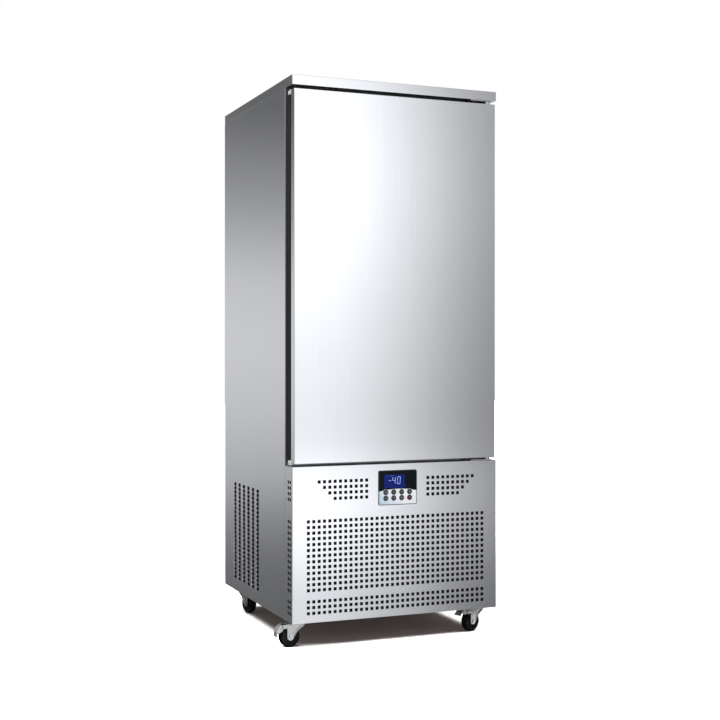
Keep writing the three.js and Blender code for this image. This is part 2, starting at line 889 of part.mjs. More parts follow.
function receiver() {
  const r = receiverRadius;
  return turned(
    [
      [0, fit],
      [0.8 * r, fit],
      [r, 0.3 * r],
      [r, receiverHeight - 0.4 * r],
      [0.6 * r, receiverHeight],
      [0, receiverHeight],
    ],
    smallSides,
  );
}

// A tube that runs through the points with a rounded corner at each.
function pipe(points, radius) {
  const corners = points.map(([x, y, z]) => new THREE.Vector3(x, y, z));
  const path = new THREE.CurvePath();
  let start = corners[0];
  for (let index = 1; index < corners.length - 1; index += 1) {
    const corner = corners[index];
    const before = corner.clone().add(corners[index - 1].clone().sub(corner).setLength(pipeBend));
    const after = corner.clone().add(corners[index + 1].clone().sub(corner).setLength(pipeBend));
    path.add(new THREE.LineCurve3(start, before));
    path.add(new THREE.QuadraticBezierCurve3(before, corner, after));
    start = after;
  }
  path.add(new THREE.LineCurve3(start, corners[corners.length - 1]));
  const section = new THREE.Shape();
  for (let side = 0; side < pipeSides; side += 1) {
    const angle = (side * 2 * Math.PI) / pipeSides;
    const [x, y] = [radius * Math.cos(angle), radius * Math.sin(angle)];
    if (side === 0) section.moveTo(x, y);
    else section.lineTo(x, y);
  }
  return new THREE.ExtrudeGeometry(section, { steps: pipeSteps, extrudePath: path });
}

function dischargePipe() {
  const x = compressorX - pipeOffset;
  const y = compressorY - pipeOffset;
  const high = compressorTop + pipeRise;
  const endX = condenserHalfWidth - 2 * dischargeRadius;
  const endY = condenserY + condenserDepth / 2;
  return pipe(
    [
      [x, y, compressorTop + fit],
      [x, y, high],
      [endX, y, high],
      [endX, endY, high],
      [endX, endY, condenserTop + fit],
    ],
    dischargeRadius,
  );
}

function suctionPipe() {
  const x = compressorX + pipeOffset;
  const y = compressorY + pipeOffset;
  const high = compressorTop + pipeRise;
  return pipe(
    [
      [suctionX, suctionY, evaporatorBottom - fit],
      [suctionX, suctionY, high],
      [x, y, high],
      [x, y, compressorTop + fit],
    ],
    suctionRadius,
  );
}

// The gland that the mains lead enters by, through the floor of the base.
function powerInlet() {
  const r = glandRadius;
  const under = baseFloorZ - fit;
  const over = baseTop + fit;
  return turned(
    [
      [0, under - glandDrop],
      [1.2 * r, under - glandDrop],
      [1.4 * r, under - glandFlange],
      [1.7 * r, under - glandFlange],
      [1.7 * r, under],
      [r, under],
      [r, over],
      [1.7 * r, over],
      [1.7 * r, over + glandFlange],
      [0, over + glandFlange],
    ],
    smallSides,
  );
}

function addMachine(unit) {
  const motorUnit = addGroup(unit, compressorX, compressorY, baseTop);
  add(motorUnit, "compressor", compressor(), blackEnamel);
  add(unit, "condenser", condenser(), aluminiumFins);
  const fanY = condenserBack + plenumDepth / 2;
  const fanGroup = addGroup(unit, 0, fanY, (condenserBottom + condenserTop) / 2);
  const opening = condenserFanRadius + fanTip;
  const motor = fanMotor(condenserMotorRadius, condenserMotorLength, opening, plenumDepth / 2);
  add(fanGroup, "condenser_fan", fan(condenserFanRadius, condenserFanHub), fanGrey);
  add(fanGroup, "condenser_fan_motor", motor, blackEnamel);
  const receiverGroup = addGroup(unit, receiverX, compressorY, baseTop);
  add(receiverGroup, "liquid_receiver", receiver(), blackEnamel);
  add(unit, "discharge_pipe", dischargePipe(), copper);
  add(unit, "suction_pipe", suctionPipe(), copper);
  const inletGroup = addGroup(unit, glandX, glandY, 0);
  add(inletGroup, "power_inlet", powerInlet(), blackPlastic);
}

// ---------------------------------------------------------------- chamber

function evaporator() {
  const x = evaporatorHalfWidth;
  const y1 = chamberBack - evaporatorWallGap;
  const y0 = y1 - evaporatorDepth;
  const z0 = evaporatorBottom;
  const z1 = chamberTop - evaporatorHeadroom;
  const core = block(-x, x, y0, y1, z0, z1);
  const margin = endPlateMargin;
  const endPlates = [-1, 1].map((side) => {
    const middle = side * x;
    const back = chamberBack - fit;
    return block(middle - sheet, middle + sheet, y0 - margin, back, z0 - margin, z1 + margin);
  });
  return join(core, ...endPlates);
}

function fanHeights() {
  const middle = (chamberBottom + coverLift + chamberTop - coverHeadroom) / 2;
  return [middle - chamberFanSpacing / 2, middle + chamberFanSpacing / 2];
}

// The cover that carries the fans; its sides run back to the rear wall of the chamber.
function evaporatorCover() {
  const x = chamberHalfWidth - coverSideGap;
  const z0 = chamberBottom + coverLift;
  const z1 = chamberTop - coverHeadroom;
  const back = chamberBack - fit;
  const body = block(-x, x, coverY, back, z0, z1);
  const inside = block(-x + sheet, x - sheet, coverY + sheet, back + sheet, z0 - sheet, z1 + sheet);
  const openings = fanHeights().map((z) =>
    rod(chamberFanRadius + fanTip, 0, z, coverY - sheet, coverY + 2 * sheet, fineSides),
  );
  return cut(body, inside, ...openings);
}

// side is -1 on the left and 1 on the right
function trayRack(side) {
  const wall = chamberHalfWidth - fit;
  const web = wall - rackSheet;
  const tip = wall - ledgeReach;
  const bottom = chamberBottom + fit;
  const lowest = chamberBottom + rackFirst;
  const room = chamberTop - rackHeadroom - rackTopMargin - lowest;
  const highestLevel = Math.floor(room / rackPitch);
  const top = lowest + highestLevel * rackPitch + rackTopMargin;
  const shape = new THREE.Shape();
  shape.moveTo(wall, bottom);
  shape.lineTo(wall, top);
  shape.lineTo(web, top);
  for (let level = highestLevel; level >= 0; level -= 1) {
    const z = lowest + level * rackPitch;
    shape.lineTo(web, z);
    shape.lineTo(tip, z);
    shape.lineTo(tip, z - rackSheet);
    shape.lineTo(web, z - rackSheet);
  }
  shape.lineTo(web, bottom);
  const rackBack = coverY - rackCoverGap;
  if (side > 0) return prismY(shape, rackFront, rackBack);
  return prismY(shape, -rackBack, -rackFront).rotateZ(Math.PI);
}

function addChamber(unit) {
  add(unit, "evaporator", evaporator(), aluminiumFins);
  add(unit, "evaporator_cover", evaporatorCover(), stainless);
  add(unit, "tray_rack_left", trayRack(-1), stainless);
  add(unit, "tray_rack_right", trayRack(1), stainless);
  const opening = chamberFanRadius + fanTip;
  fanHeights().forEach((z, index) => {
    const place = index === 0 ? "lower" : "upper";
    const group = addGroup(unit, 0, coverY - fanDepth / 2, z);
    const plate = fanDepth / 2 + sheet;
    const motor = fanMotor(chamberMotorRadius, chamberMotorLength, opening, plate);
    add(group, "chamber_fan_" + place, fan(chamberFanRadius, chamberFanHub), fanGrey);
    add(group, "chamber_fan_motor_" + place, motor, blackEnamel);
  });
}

// ---------------------------------------------------------------- castors, trailing along +X

const casterPlateTop = baseFloorZ - fit;
const raceTop = -fit;
const forkTop = raceTop - raceHeight;
const forkLegY = wheelWidth / 2 + forkSideGap;
const wheelTop = axleZ + wheelRadius;
const webBottom = wheelTop + forkWheelGap;
const forkBack = -0.7 * raceRadius;
const forkFront = brakePivotX - brakeBarrelRadius - forkWheelGap;

function casterPlate() {
  const x = casterPlateLength / 2;
  const y = casterPlateWidth / 2;
  const plate = block(-x, x, -y, y, casterPlateTop - casterPlateThickness, casterPlateTop);
  const upperRace = post(raceRadius, 0, 0, raceTop + fit, casterPlateTop, smallSides);
  const kingpin = post(kingpinRadius, 0, 0, webBottom, casterPlateTop, pipeSides);
  return join(plate, upperRace, kingpin);
}

// One leg of a fork from the side; with a brake it has an ear for the pedal's pin.
function legShape(braked) {
  const shape = new THREE.Shape();
  shape.moveTo(forkBack, forkTop);
  shape.lineTo(forkBack, forkTop - 2 * axleEye + raceHeight);
  shape.lineTo(casterTrail - axleEye, axleZ);
  shape.absarc(casterTrail, axleZ, axleEye, Math.PI, 2 * Math.PI);
  if (braked) {
    shape.lineTo(brakePivotX + brakeBarrelRadius, -brakePivotDrop - brakeBarrelRadius);
    shape.lineTo(brakePivotX + brakeBarrelRadius, forkTop);
  } else {
    shape.lineTo(forkFront, forkTop);
  }
  return shape;
}

function casterFork(braked) {
  const outer = forkLegY + forkSheet;
  const race = post(raceRadius, 0, 0, forkTop, raceTop, smallSides);
  const web = block(forkBack, forkFront, -outer, outer, webBottom, forkTop);
  const leg = legShape(braked);
  const legs = [prismY(leg, -outer, -forkLegY), prismY(leg, forkLegY, outer)];
  const axle = rod(axleRadius, casterTrail, axleZ, -outer - axleHead, outer + axleHead, pipeSides);
  const pieces = [race, web, ...legs, axle];
  if (braked) {
    pieces.push(rod(brakePinRadius, brakePivotX, -brakePivotDrop, -outer, outer, pipeSides));
  }
  const kingpinHole = kingpinRadius + kingpinClearance;
  return cut(join(...pieces), post(kingpinHole, 0, 0, webBottom - sheet, 0, pipeSides));
}

function casterWheel() {
  const half = wheelWidth / 2;
  const flat = Math.cos(Math.PI / wheelSides); // flats, not corners, lie on the round of the wheel
  const r = wheelRadius / flat;
  const bore = axleRadius + axleClearance;
  const profile = [
    [bore, -half],
    [0.88 * r, -half],
    [r, -0.7 * half],
    [r, 0.7 * half],
    [0.88 * r, half],
    [bore, half],
    [bore, -half],
  ].map(([radius, y]) => new THREE.Vector2(radius, y));
  return new THREE.LatheGeometry(profile, wheelSides, Math.PI / wheelSides);
}

// A pedal about its pivot, reaching outwards along +X.
function brakePedal() {
  const half = brakeWidth / 2;
  const high = brakeBarrelRadius;
  const barrel = rod(high, 0, 0, -half, half, smallSides);
  const arm = block(0, brakeArmLength, -half, half, high - brakeArmSheet, high);
  const lip = block(brakeArmLength - brakeArmSheet, brakeArmLength, -half, half, 0, high);
  const pinHole = rod(brakePinRadius + axleClearance, 0, 0, -half - sheet, half + sheet, pipeSides);
  return cut(join(barrel, arm, lip), pinHole);
}

function addCaster(unit, place, x, y, trail, brakeAngle) {
  const caster = addGroup(unit, x, y, 0);
  add(caster, place + "_caster_plate", casterPlate(), zinc);
  const swivel = addGroup(caster, 0, 0, 0);
  swivel.rotation.z = trail;
  add(swivel, place + "_caster_fork", casterFork(brakeAngle !== null), zinc);
  const wheel = add(swivel, place + "_caster_wheel", casterWheel(), rubber);
  wheel.position.set(casterTrail, 0, axleZ);
  if (brakeAngle !== null) {
    const pedal = add(swivel, place + "_brake_pedal", brakePedal(), zinc);
    pedal.position.set(brakePivotX, 0, -brakePivotDrop);
    pedal.rotation.y = brakeAngle;
  }
}

function addCasters(unit) {
  addCaster(unit, "front_left", -casterX, frontCasterY, frontLeftTrail, pressedBrake);
  addCaster(unit, "front_right", casterX, frontCasterY, frontRightTrail, liftedBrake);
  const rearY = cabinetDepth - rearCasterMargin;
  addCaster(unit, "rear_left", -casterX, rearY, rearLeftTrail, null);
  addCaster(unit, "rear_right", casterX, rearY, rearRightTrail, null);
}

// ---------------------------------------------------------------- the whole

const root = new THREE.Group();
const unit = addGroup(root, 0, (doorProud - cabinetDepth) / 2, casterHeight);
addCabinet(unit);
addDoor(unit);
addHinges(unit);
addControls(unit);
addMachine(unit);
addChamber(unit);
addCasters(unit);

export default root;
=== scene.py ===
"""An upright blast chiller on castors, modelled and finished around its frame.

Metres. The cabinet's own coordinates start at the middle of its lower front edge: X to the right,
Y towards the back and Z up. PLACE moves them into the frame, whose origin is on the floor.
"""

import json
import math

import bmesh
import bpy
from bpy.props import FloatProperty, FloatVectorProperty, IntProperty, PointerProperty
from mathutils import Matrix, Vector

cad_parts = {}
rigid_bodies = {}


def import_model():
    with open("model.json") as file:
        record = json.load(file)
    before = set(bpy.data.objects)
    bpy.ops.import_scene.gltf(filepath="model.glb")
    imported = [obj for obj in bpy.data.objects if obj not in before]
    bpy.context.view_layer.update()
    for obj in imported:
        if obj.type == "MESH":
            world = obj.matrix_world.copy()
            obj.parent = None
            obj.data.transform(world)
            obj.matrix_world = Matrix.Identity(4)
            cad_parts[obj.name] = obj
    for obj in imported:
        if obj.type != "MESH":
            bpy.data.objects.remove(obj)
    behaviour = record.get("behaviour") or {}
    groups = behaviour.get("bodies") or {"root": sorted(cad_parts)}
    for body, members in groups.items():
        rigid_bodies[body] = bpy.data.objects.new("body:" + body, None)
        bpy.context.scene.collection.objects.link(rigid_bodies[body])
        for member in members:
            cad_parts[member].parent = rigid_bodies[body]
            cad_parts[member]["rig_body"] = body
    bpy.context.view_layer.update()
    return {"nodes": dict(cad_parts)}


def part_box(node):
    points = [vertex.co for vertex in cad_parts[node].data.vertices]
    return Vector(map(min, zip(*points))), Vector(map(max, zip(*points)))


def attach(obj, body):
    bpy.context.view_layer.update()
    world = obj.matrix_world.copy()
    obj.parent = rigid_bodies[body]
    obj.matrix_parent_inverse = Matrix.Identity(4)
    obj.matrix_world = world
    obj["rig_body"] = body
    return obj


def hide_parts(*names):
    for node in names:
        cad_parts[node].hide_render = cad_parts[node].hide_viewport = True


bl_info = {
    "name": "Blast Chiller",
    "version": (1, 0, 0),
    "blender": (4, 5, 0),
    "location": "View3D > Sidebar > Chiller",
    "description": "Models and finishes an upright blast chiller around its frame",
    "category": "Object",
}

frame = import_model()

# ---------------------------------------------------------------- sizes taken from the frame

PANEL_LOW, PANEL_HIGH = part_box("front_panel")
PLACE = Matrix.Translation((0, PANEL_LOW.y, PANEL_LOW.z))


def local_box(node):
    """The lowest and highest corners of a node, in the cabinet's own coordinates."""
    return tuple(PLACE.inverted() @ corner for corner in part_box(node))


FIT = 0.0003  # left between pieces that touch
HALF_WIDTH = PANEL_HIGH.x
LOWER_HEIGHT = PANEL_HIGH.z - PANEL_LOW.z
BODY_FRONT = local_box("left_side_panel")[0].y
BODY_BACK = local_box("left_side_panel")[1].y
PANEL_TOP = local_box("left_side_panel")[1].z
DOOR_LOW, DOOR_HIGH = local_box("door_skin")
CHAMBER_HALF_WIDTH = 0.340
CHAMBER_LOW = 0.6005
CHAMBER_HIGH = 1.818
COVER_FRONT = local_box("evaporator_cover")[0].y
IN_FRAME = Matrix.Identity(4)  # for a mesh that is already in the frame's place
SAME_PLACE = 1e-6  # apart at most, where vertices are merged


def length_property(name, description, value):
    return FloatProperty(name=name, description=description, default=value, unit="LENGTH")


class ChillerSizes(bpy.types.PropertyGroup):
    """Sizes of the cabinet's sheet metal and fittings."""

    sheet: length_property("Sheet", "Thickness of the stainless sheet", 0.0012)
    fold: length_property("Fold", "Outer radius of a folded edge", 0.0025)
    hole: length_property("Hole", "Side of a square air hole", 0.0114)
    hole_pitch: length_property("Hole pitch", "From one air hole to the next", 0.020)
    louvre_width: length_property("Louvre width", "Width of a pressed louvre", 0.0375)
    louvre_height: length_property("Louvre height", "Height of a pressed louvre", 0.0142)
    louvre_pitch: length_property("Louvre pitch", "From one louvre to the next", 0.016)
    louvre_depth: length_property("Louvre depth", "How far a louvre is pressed in", 0.002)
    louvre_rows: IntProperty(name="Louvre rows", description="Louvres in a column", default=24)
    louvre_columns: IntProperty(name="Louvre columns", description="Columns of louvres", default=6)
    wire: length_property("Guard wire", "Thickness of the fan guards' wire", 0.0026)
    fin_pitch: length_property("Fin pitch", "From one fin of a coil to the next", 0.006)


def colour_property(name, description, value):
    return FloatVectorProperty(
        name=name, description=description, subtype="COLOR", size=3, min=0, max=1, default=value
    )


class ChillerColours(bpy.types.PropertyGroup):
    """Base colours of the finishes."""

    steel: colour_property("Steel", "Stainless sheet outside", (0.68, 0.694, 0.728))
    chamber: colour_property("Chamber", "Stainless sheet of the chamber", (0.62, 0.62, 0.635))
    galvanised: colour_property("Galvanised", "Base and deck", (0.46, 0.47, 0.49))
    zinc: colour_property("Zinc", "Castors and brackets", (0.52, 0.53, 0.54))
    fins: colour_property("Fins", "Fins of the evaporator", (0.58, 0.59, 0.6))
    dark_fins: colour_property("Dark fins", "Lacquered condenser fins", (0.012, 0.012, 0.014))
    copper: colour_property("Copper", "Pipes", (0.62, 0.27, 0.15))
    black_plastic: colour_property("Black plastic", "Grip and door frame", (0.028, 0.028, 0.032))
    pale_plastic: colour_property("Pale plastic", "Caps of the grip", (0.74, 0.74, 0.72))
    rubber: colour_property("Rubber", "Gasket and tyres", (0.004, 0.004, 0.0045))
    wheel_disc: colour_property("Wheel disc", "Middle of the castor wheels", (0.014, 0.015, 0.017))
    enamel: colour_property("Enamel", "Compressor, receiver and motors", (0.014, 0.014, 0.016))
    blades: colour_property("Blades", "Fan blades", (0.07, 0.072, 0.08))
    foam: colour_property("Foam", "Insulation", (0.72, 0.56, 0.24))
    # Painted shade: near-black sheets behind the air holes stand in for the dark inside.
    filter: colour_property("Filter", "Filter mats behind the air holes", (0.004, 0.004, 0.0045))
    panel_black: colour_property("Panel black", "Upper part of key panel", (0.004, 0.008, 0.009))
    panel_pale: colour_property("Panel pale", "Lower part of key panel", (0.93, 0.96, 1.0))
    panel_blue: colour_property("Panel blue", "Tint of the key panel's corner", (0.42, 0.64, 0.82))
    display: colour_property("Display", "Lit glass behind the figures", (0.0115, 0.019, 0.168))
    figures: colour_property("Figures", "Lit figures of the display", (0.3, 0.45, 0.85))
    key: colour_property("Key", "Black keys", (0.02, 0.022, 0.026))
    red_key: colour_property("Red key", "The last key", (0.075, 0.006, 0.01))
    print_white: colour_property("Print", "Rings round the keys", (0.75, 0.8, 0.85))
    sign: colour_property("Signs", "Signs on the keys", (0.3, 0.32, 0.36))


def sizes():
    return bpy.context.scene.chiller_sizes


def colours():
    return bpy.context.scene.chiller_colours


# ---------------------------------------------------------------- effects shared by the finishes


def new_node(tree, kind, **settings):
    """A shader node of a kind, such as Math or Mix, with its settings."""
    node = tree.nodes.new("ShaderNode" + kind)
    for name, value in settings.items():
        setattr(node, name, value)
    return node


def feed(tree, socket, value):
    """Links an input to an output, or gives it a value of its own."""
    if isinstance(value, bpy.types.NodeSocket):
        tree.links.new(value, socket)
    else:
        socket.default_value = value


def feed_all(tree, node, **values):
    for label, value in values.items():
        feed(tree, node.inputs[label.replace("_", " ")], value)


def effect_group(name, outputs, **values):
    """A group that reads a vector and some values; returns its tree, what it gets and gives."""
    tree = bpy.data.node_groups.new(name, "ShaderNodeTree")
    tree.interface.new_socket("Vector", in_out="INPUT", socket_type="NodeSocketVector")
    for label, value in values.items():
        kind = "NodeSocketFloat" if isinstance(value, float) else "NodeSocketVector"
        socket = tree.interface.new_socket(label, in_out="INPUT", socket_type=kind)
        socket.default_value = value
    for label in outputs:
        tree.interface.new_socket(label, in_out="OUTPUT", socket_type="NodeSocketFloat")
    given, result = tree.nodes.new("NodeGroupInput"), tree.nodes.new("NodeGroupOutput")
    return tree, given.outputs, result.inputs


def noise(tree, vector, scale, detail, roughness=0.5):
    node = new_node(tree, "TexNoise")
    feed_all(tree, node, Vector=vector, Scale=scale, Detail=detail, Roughness=roughness)
    return node.outputs["Fac"]


def ranged(tree, value, low, high, to_low, to_high):
    """Maps low..high of a value to another range, held at its ends."""
    node = new_node(tree, "MapRange")
    for socket, number in zip(node.inputs, (value, low, high, to_low, to_high)):
        feed(tree, socket, number)
    return node.outputs[0]


def calculated(tree, operation, first, second):
    node = new_node(tree, "Math", operation=operation)
    feed(tree, node.inputs[0], first)
    feed(tree, node.inputs[1], second)
    return node.outputs[0]


def product(tree, first, second):
    return calculated(tree, "MULTIPLY", first, second)


def vector_product(tree, first, second):
    """Two vectors multiplied axis by axis."""
    node = new_node(tree, "VectorMath", operation="MULTIPLY")
    feed(tree, node.inputs[0], first)
    feed(tree, node.inputs[1], second)
    return node.outputs[0]


def vector_length(tree, vector):
    node = new_node(tree, "VectorMath", operation="LENGTH")
    feed(tree, node.inputs[0], vector)
    return node.outputs["Value"]


def mixed(tree, mask, first, second):
    """A colour that goes from the first to the second as the mask goes from 0 to 1."""
    node = new_node(tree, "Mix", data_type="RGBA")
    for index, value in ((0, mask), (6, first), (7, second)):
        feed(tree, node.inputs[index], value)
    return node.outputs[2]


def make_brushing():
    """Fine lines of a brushed sheet, drawn out along the axis where Stretch is small."""
    tree, given, result = effect_group("Brushing", ["Lines", "Streaks"], Stretch=(1, 1, 0.01))
    drawn = vector_product(tree, given["Vector"], given["Stretch"])
    feed(tree, result["Lines"], noise(tree, drawn, 1400, 3))
    feed(tree, result["Streaks"], noise(tree, drawn, 220, 4))


def make_smudges():
    """Faint wiped patches, from hands and cloths."""
    tree, given, result = effect_group("Smudges", ["Mask"], Amount=1.0)
    patches = ranged(tree, noise(tree, given["Vector"], 5, 5, 0.6), 0.46, 0.68, 0, 1)
    fine = ranged(tree, noise(tree, given["Vector"], 70, 3, 0.7), 0.35, 0.65, 0.4, 1)
    feed(tree, result["Mask"], product(tree, product(tree, patches, fine), given["Amount"]))


def make_speckle():
    """The fine moulded or cast grain of plastic, rubber and enamel."""
    tree, given, result = effect_group("Speckle", ["Grain", "Patches"])
    feed(tree, result["Grain"], noise(tree, given["Vector"], 1100, 3, 0.6))
    feed(tree, result["Patches"], noise(tree, given["Vector"], 45, 4, 0.55))


def make_spangle():
    """The crystal pattern of zinc on steel."""
    tree, given, result = effect_group("Spangle", ["Cells"], Size=160.0)
    cells = new_node(tree, "TexVoronoi")
    feed_all(tree, cells, Vector=given["Vector"], Scale=given["Size"])
    grey = new_node(tree, "RGBToBW")
    feed(tree, grey.inputs[0], cells.outputs["Color"])
    feed(tree, result["Cells"], grey.outputs[0])


def make_scuffs():
    """Thin scratches and rubbed spots of what is handled or rolls on the floor."""
    tree, given, result = effect_group("Scuffs", ["Mask"], Amount=1.0)
    cracks = new_node(tree, "TexVoronoi", feature="DISTANCE_TO_EDGE")
    feed_all(tree, cracks, Vector=given["Vector"], Scale=60)
    lines = ranged(tree, cracks.outputs["Distance"], 0, 0.025, 1, 0)
    spots = ranged(tree, noise(tree, given["Vector"], 90, 4, 0.7), 0.5, 0.66, 0, 1)
    feed(tree, result["Mask"], product(tree, product(tree, lines, spots), given["Amount"]))


FINISH_SUFFIX = "_finish"  # sets the finishes' names apart from those of the frame's materials


class Finish:
    """A material in the making: its node tree, its Principled shader and its coordinates."""

    def __init__(self, name, colour, metallic, roughness):
        self.material = bpy.data.materials.new(name + FINISH_SUFFIX)
        self.material.use_nodes = True
        self.tree = self.material.node_tree
        self.shader = self.tree.nodes["Principled BSDF"]
        self.colour = (*colour, 1)
        self.set(Base_Color=self.colour, Metallic=metallic, Roughness=roughness)
        self.mapping = new_node(self.tree, "Mapping")
        self.vector = self.mapping.outputs["Vector"]
        source = new_node(self.tree, "TexCoord")
        feed_all(self.tree, self.mapping, Vector=source.outputs["Object"])

    def set(self, **values):
        feed_all(self.tree, self.shader, **values)

    def effect(self, group, **values):
        node = new_node(self.tree, "Group", node_tree=bpy.data.node_groups[group])
        feed_all(self.tree, node, Vector=self.vector, **values)
        return node.outputs

    def blend_colour(self, mask, other):
        """Lets the base colour turn towards another one where the mask says so."""
        before = self.shader.inputs["Base Color"]
        old = before.links[0].from_socket if before.is_linked else self.colour
        self.set(Base_Color=mixed(self.tree, mask, old, (*other, 1)))

    def vary_roughness(self, mask, low, high):
        """Roughness from low to high as the mask goes from 0 to 1."""
        self.set(Roughness=ranged(self.tree, mask, 0, 1, low, high))

    def bump(self, height, strength, distance):
        node = new_node(self.tree, "Bump")
        feed_all(self.tree, node, Strength=strength, Distance=distance, Height=height)
        self.set(Normal=node.outputs["Normal"])


def darker(colour, share):
    return tuple(channel * share for channel in colour)


def brushed(name, colour, roughness, stretch):
    """Brushed stainless sheet, its lines drawn out along the axis where stretch is small."""
    finish = Finish(name, colour, 1.0, roughness)
    lines = finish.effect("Brushing", Stretch=stretch)
    smudges = finish.effect("Smudges", Amount=0.5)
    streaks = ranged(finish.tree, lines["Streaks"], 0.35, 0.65, 0, 1)
    finish.blend_colour(streaks, darker(colour, 0.98))
    finish.blend_colour(smudges["Mask"], darker(colour, 0.96))
    finish.vary_roughness(lines["Lines"], roughness - 0.03, roughness + 0.03)
    finish.bump(lines["Lines"], 0.05, 0.0001)


def plated(name, colour, roughness, size, contrast=0.78):
    """Zinc on steel: bright for small fittings, spangled for sheet."""
    finish = Finish(name, colour, 1.0, roughness)
    cells = finish.effect("Spangle", Size=size)["Cells"]
    grain = finish.effect("Speckle")
    scuffs = finish.effect("Scuffs", Amount=0.7)
    finish.blend_colour(cells, darker(colour, contrast))
    finish.blend_colour(scuffs["Mask"], darker(colour, 0.5))
    finish.vary_roughness(grain["Patches"], roughness - 0.08, roughness + 0.08)
    finish.bump(grain["Grain"], 0.1, 0.0001)


def moulded(name, colour, roughness, worn=0.5, depth=0.00015, gloss=0.5):
    """Moulded plastic, rubber or enamel with a fine grain and a little wear."""
    finish = Finish(name, colour, 0.0, roughness)
    finish.set(Specular_IOR_Level=gloss)
    grain = finish.effect("Speckle")
    scuffs = finish.effect("Scuffs", Amount=worn)
    lighter = tuple(channel * 0.8 + 0.03 for channel in colour)
    finish.blend_colour(ranged(finish.tree, grain["Patches"], 0.3, 0.7, 0, 1), darker(colour, 0.8))
    finish.blend_colour(scuffs["Mask"], lighter)
    finish.vary_roughness(grain["Patches"], roughness - 0.08, roughness + 0.08)
    finish.bump(grain["Grain"], 0.25, depth)


def foamed(name, colour):
    """Rigid foam with a skin of small cells."""
    finish = Finish(name, colour, 0.0, 0.95)
    cells = finish.effect("Spangle", Size=420.0)["Cells"]
    grain = finish.effect("Speckle")
    finish.blend_colour(grain["Patches"], darker(colour, 0.75))
    finish.bump(cells, 0.5, 0.0006)
    finish.set(Specular_IOR_Level=0.15)


PANEL_ARC_RADIUS = 0.347  # of the arc between the key panel's black and pale parts
PANEL_ARC_TOP = 0.4553
PANEL_ARC_CENTRE = PANEL_ARC_TOP - PANEL_ARC_RADIUS
PANEL_ARC_SOFT = 0.0003
PANEL_TINT = (-0.14, -0.03)  # where the tint is full and where it ends, beside the arc's radius


def panel_finish(name):
    """The key panel: black above an arc, and pale with a tinted corner below it."""
    c = colours()
    finish = Finish(name, c.panel_black, 0.0, 0.22)
    feed_all(finish.tree, finish.mapping, Location=-(PLACE @ Vector((0, 0, PANEL_ARC_CENTRE))))
    tree = finish.tree
    reach = vector_length(tree, vector_product(tree, finish.vector, (1, 0, 1)))
    arc = (PANEL_ARC_RADIUS - PANEL_ARC_SOFT, PANEL_ARC_RADIUS + PANEL_ARC_SOFT)
    apart = new_node(tree, "SeparateXYZ")
    feed(tree, apart.inputs[0], finish.vector)
    slope = calculated(tree, "ADD", apart.outputs["X"], apart.outputs["Z"])
    tint = ranged(tree, slope, *[PANEL_ARC_RADIUS + end for end in PANEL_TINT], 1, 0)
    pale = mixed(tree, tint, (*c.panel_pale, 1), (*c.panel_blue, 1))
    finish.set(Base_Color=mixed(tree, ranged(tree, reach, *arc, 1, 0), finish.colour, pale))
    grain = finish.effect("Speckle")
    finish.vary_roughness(grain["Patches"], 0.26, 0.38)
    finish.bump(grain["Grain"], 0.05, 0.00005)
    finish.set(Specular_IOR_Level=0.06)


def lit(name, colour, strength, roughness=0.12):
    """Glass or figures that give light."""
    unlit = darker(colour, 0.25)
    finish = Finish(name, unlit, 0.0, roughness)
    finish.set(Emission_Color=(*colour, 1), Emission_Strength=strength, Specular_IOR_Level=0.03)
    grain = finish.effect("Speckle")
    finish.blend_colour(grain["Patches"], darker(unlit, 0.8))


def make_finishes():
    """Every finish, by the name that the pieces ask for it."""
    c = colours()
    upright = (1, 1, 0.008)
    level = (0.008, 1, 1)
    brushed("steel", c.steel, 0.2, upright)
    # The top sheet: the same stainless with level lines, its colour made darker as painted shade.
    brushed("top_steel_painted_shade", darker(c.steel, 0.92), 0.22, level)
    brushed("chamber_steel", c.chamber, 0.3, upright)
    plated("galvanised", c.galvanised, 0.42, 120.0)
    plated("zinc", c.zinc, 0.26, 700.0, 0.8)
    plated("fins", c.fins, 0.4, 700.0)
    plated("copper", c.copper, 0.3, 300.0)
    moulded("black_plastic", c.black_plastic, 0.42)
    moulded("pale_plastic", c.pale_plastic, 0.42, 0.3)
    moulded("rubber", c.rubber, 0.55, 0.3, gloss=0.05)
    moulded("wheel_disc", c.wheel_disc, 0.35, 0.5, gloss=0.2)
    moulded("dark_fins", c.dark_fins, 0.6, 0.1)
    moulded("enamel", c.enamel, 0.3, 0.4)
    moulded("blades", c.blades, 0.4, 0.4)
    moulded("key", c.key, 0.25, 0.1, 0.00005)
    moulded("red_key", c.red_key, 0.25, 0.1, 0.00005)
    moulded("print", c.print_white, 0.4, 0.0, 0.00003)
    moulded("sign", c.sign, 0.4, 0.0, 0.00003)
    foamed("foam", c.foam)
    # Painted shade behind the holes: near black, with a foam grain.
    foamed("painted_hole_shade", c.filter)
    panel_finish("key_panel")
    lit("display", c.display, 0.7)
    lit("figures", c.figures, 1.0)


# ---------------------------------------------------------------- making and handing over meshes


def rotation(degrees, axis):
    return Matrix.Rotation(math.radians(degrees), 4, axis)


def shift(x, y, z):
    return Matrix.Translation((x, y, z))


def box_part(low, high):
    part = bmesh.new()
    bmesh.ops.create_cube(part, size=1)
    low, high = Vector(low), Vector(high)
    bmesh.ops.scale(part, vec=high - low, verts=part.verts)
    bmesh.ops.translate(part, vec=(low + high) / 2, verts=part.verts)
    return part


def round_edges(part, edges, radius, segments=2):
    bmesh.ops.bevel(
        part,
        geom=list(edges),
        offset=radius,
        offset_type="OFFSET",
        segments=segments,
        profile=0.5,
        affect="EDGES",
        clamp_overlap=True,
        material=-1,
    )
    return part


def sharp_edges(part, angle=35):
    part.normal_update()
    limit = math.radians(angle)
    return [e for e in part.edges if len(e.link_faces) == 2 and e.calc_face_angle(0) > limit]


def rounded_box(low, high, radius, segments=2):
    part = box_part(low, high)
    return round_edges(part, part.edges, radius, segments)


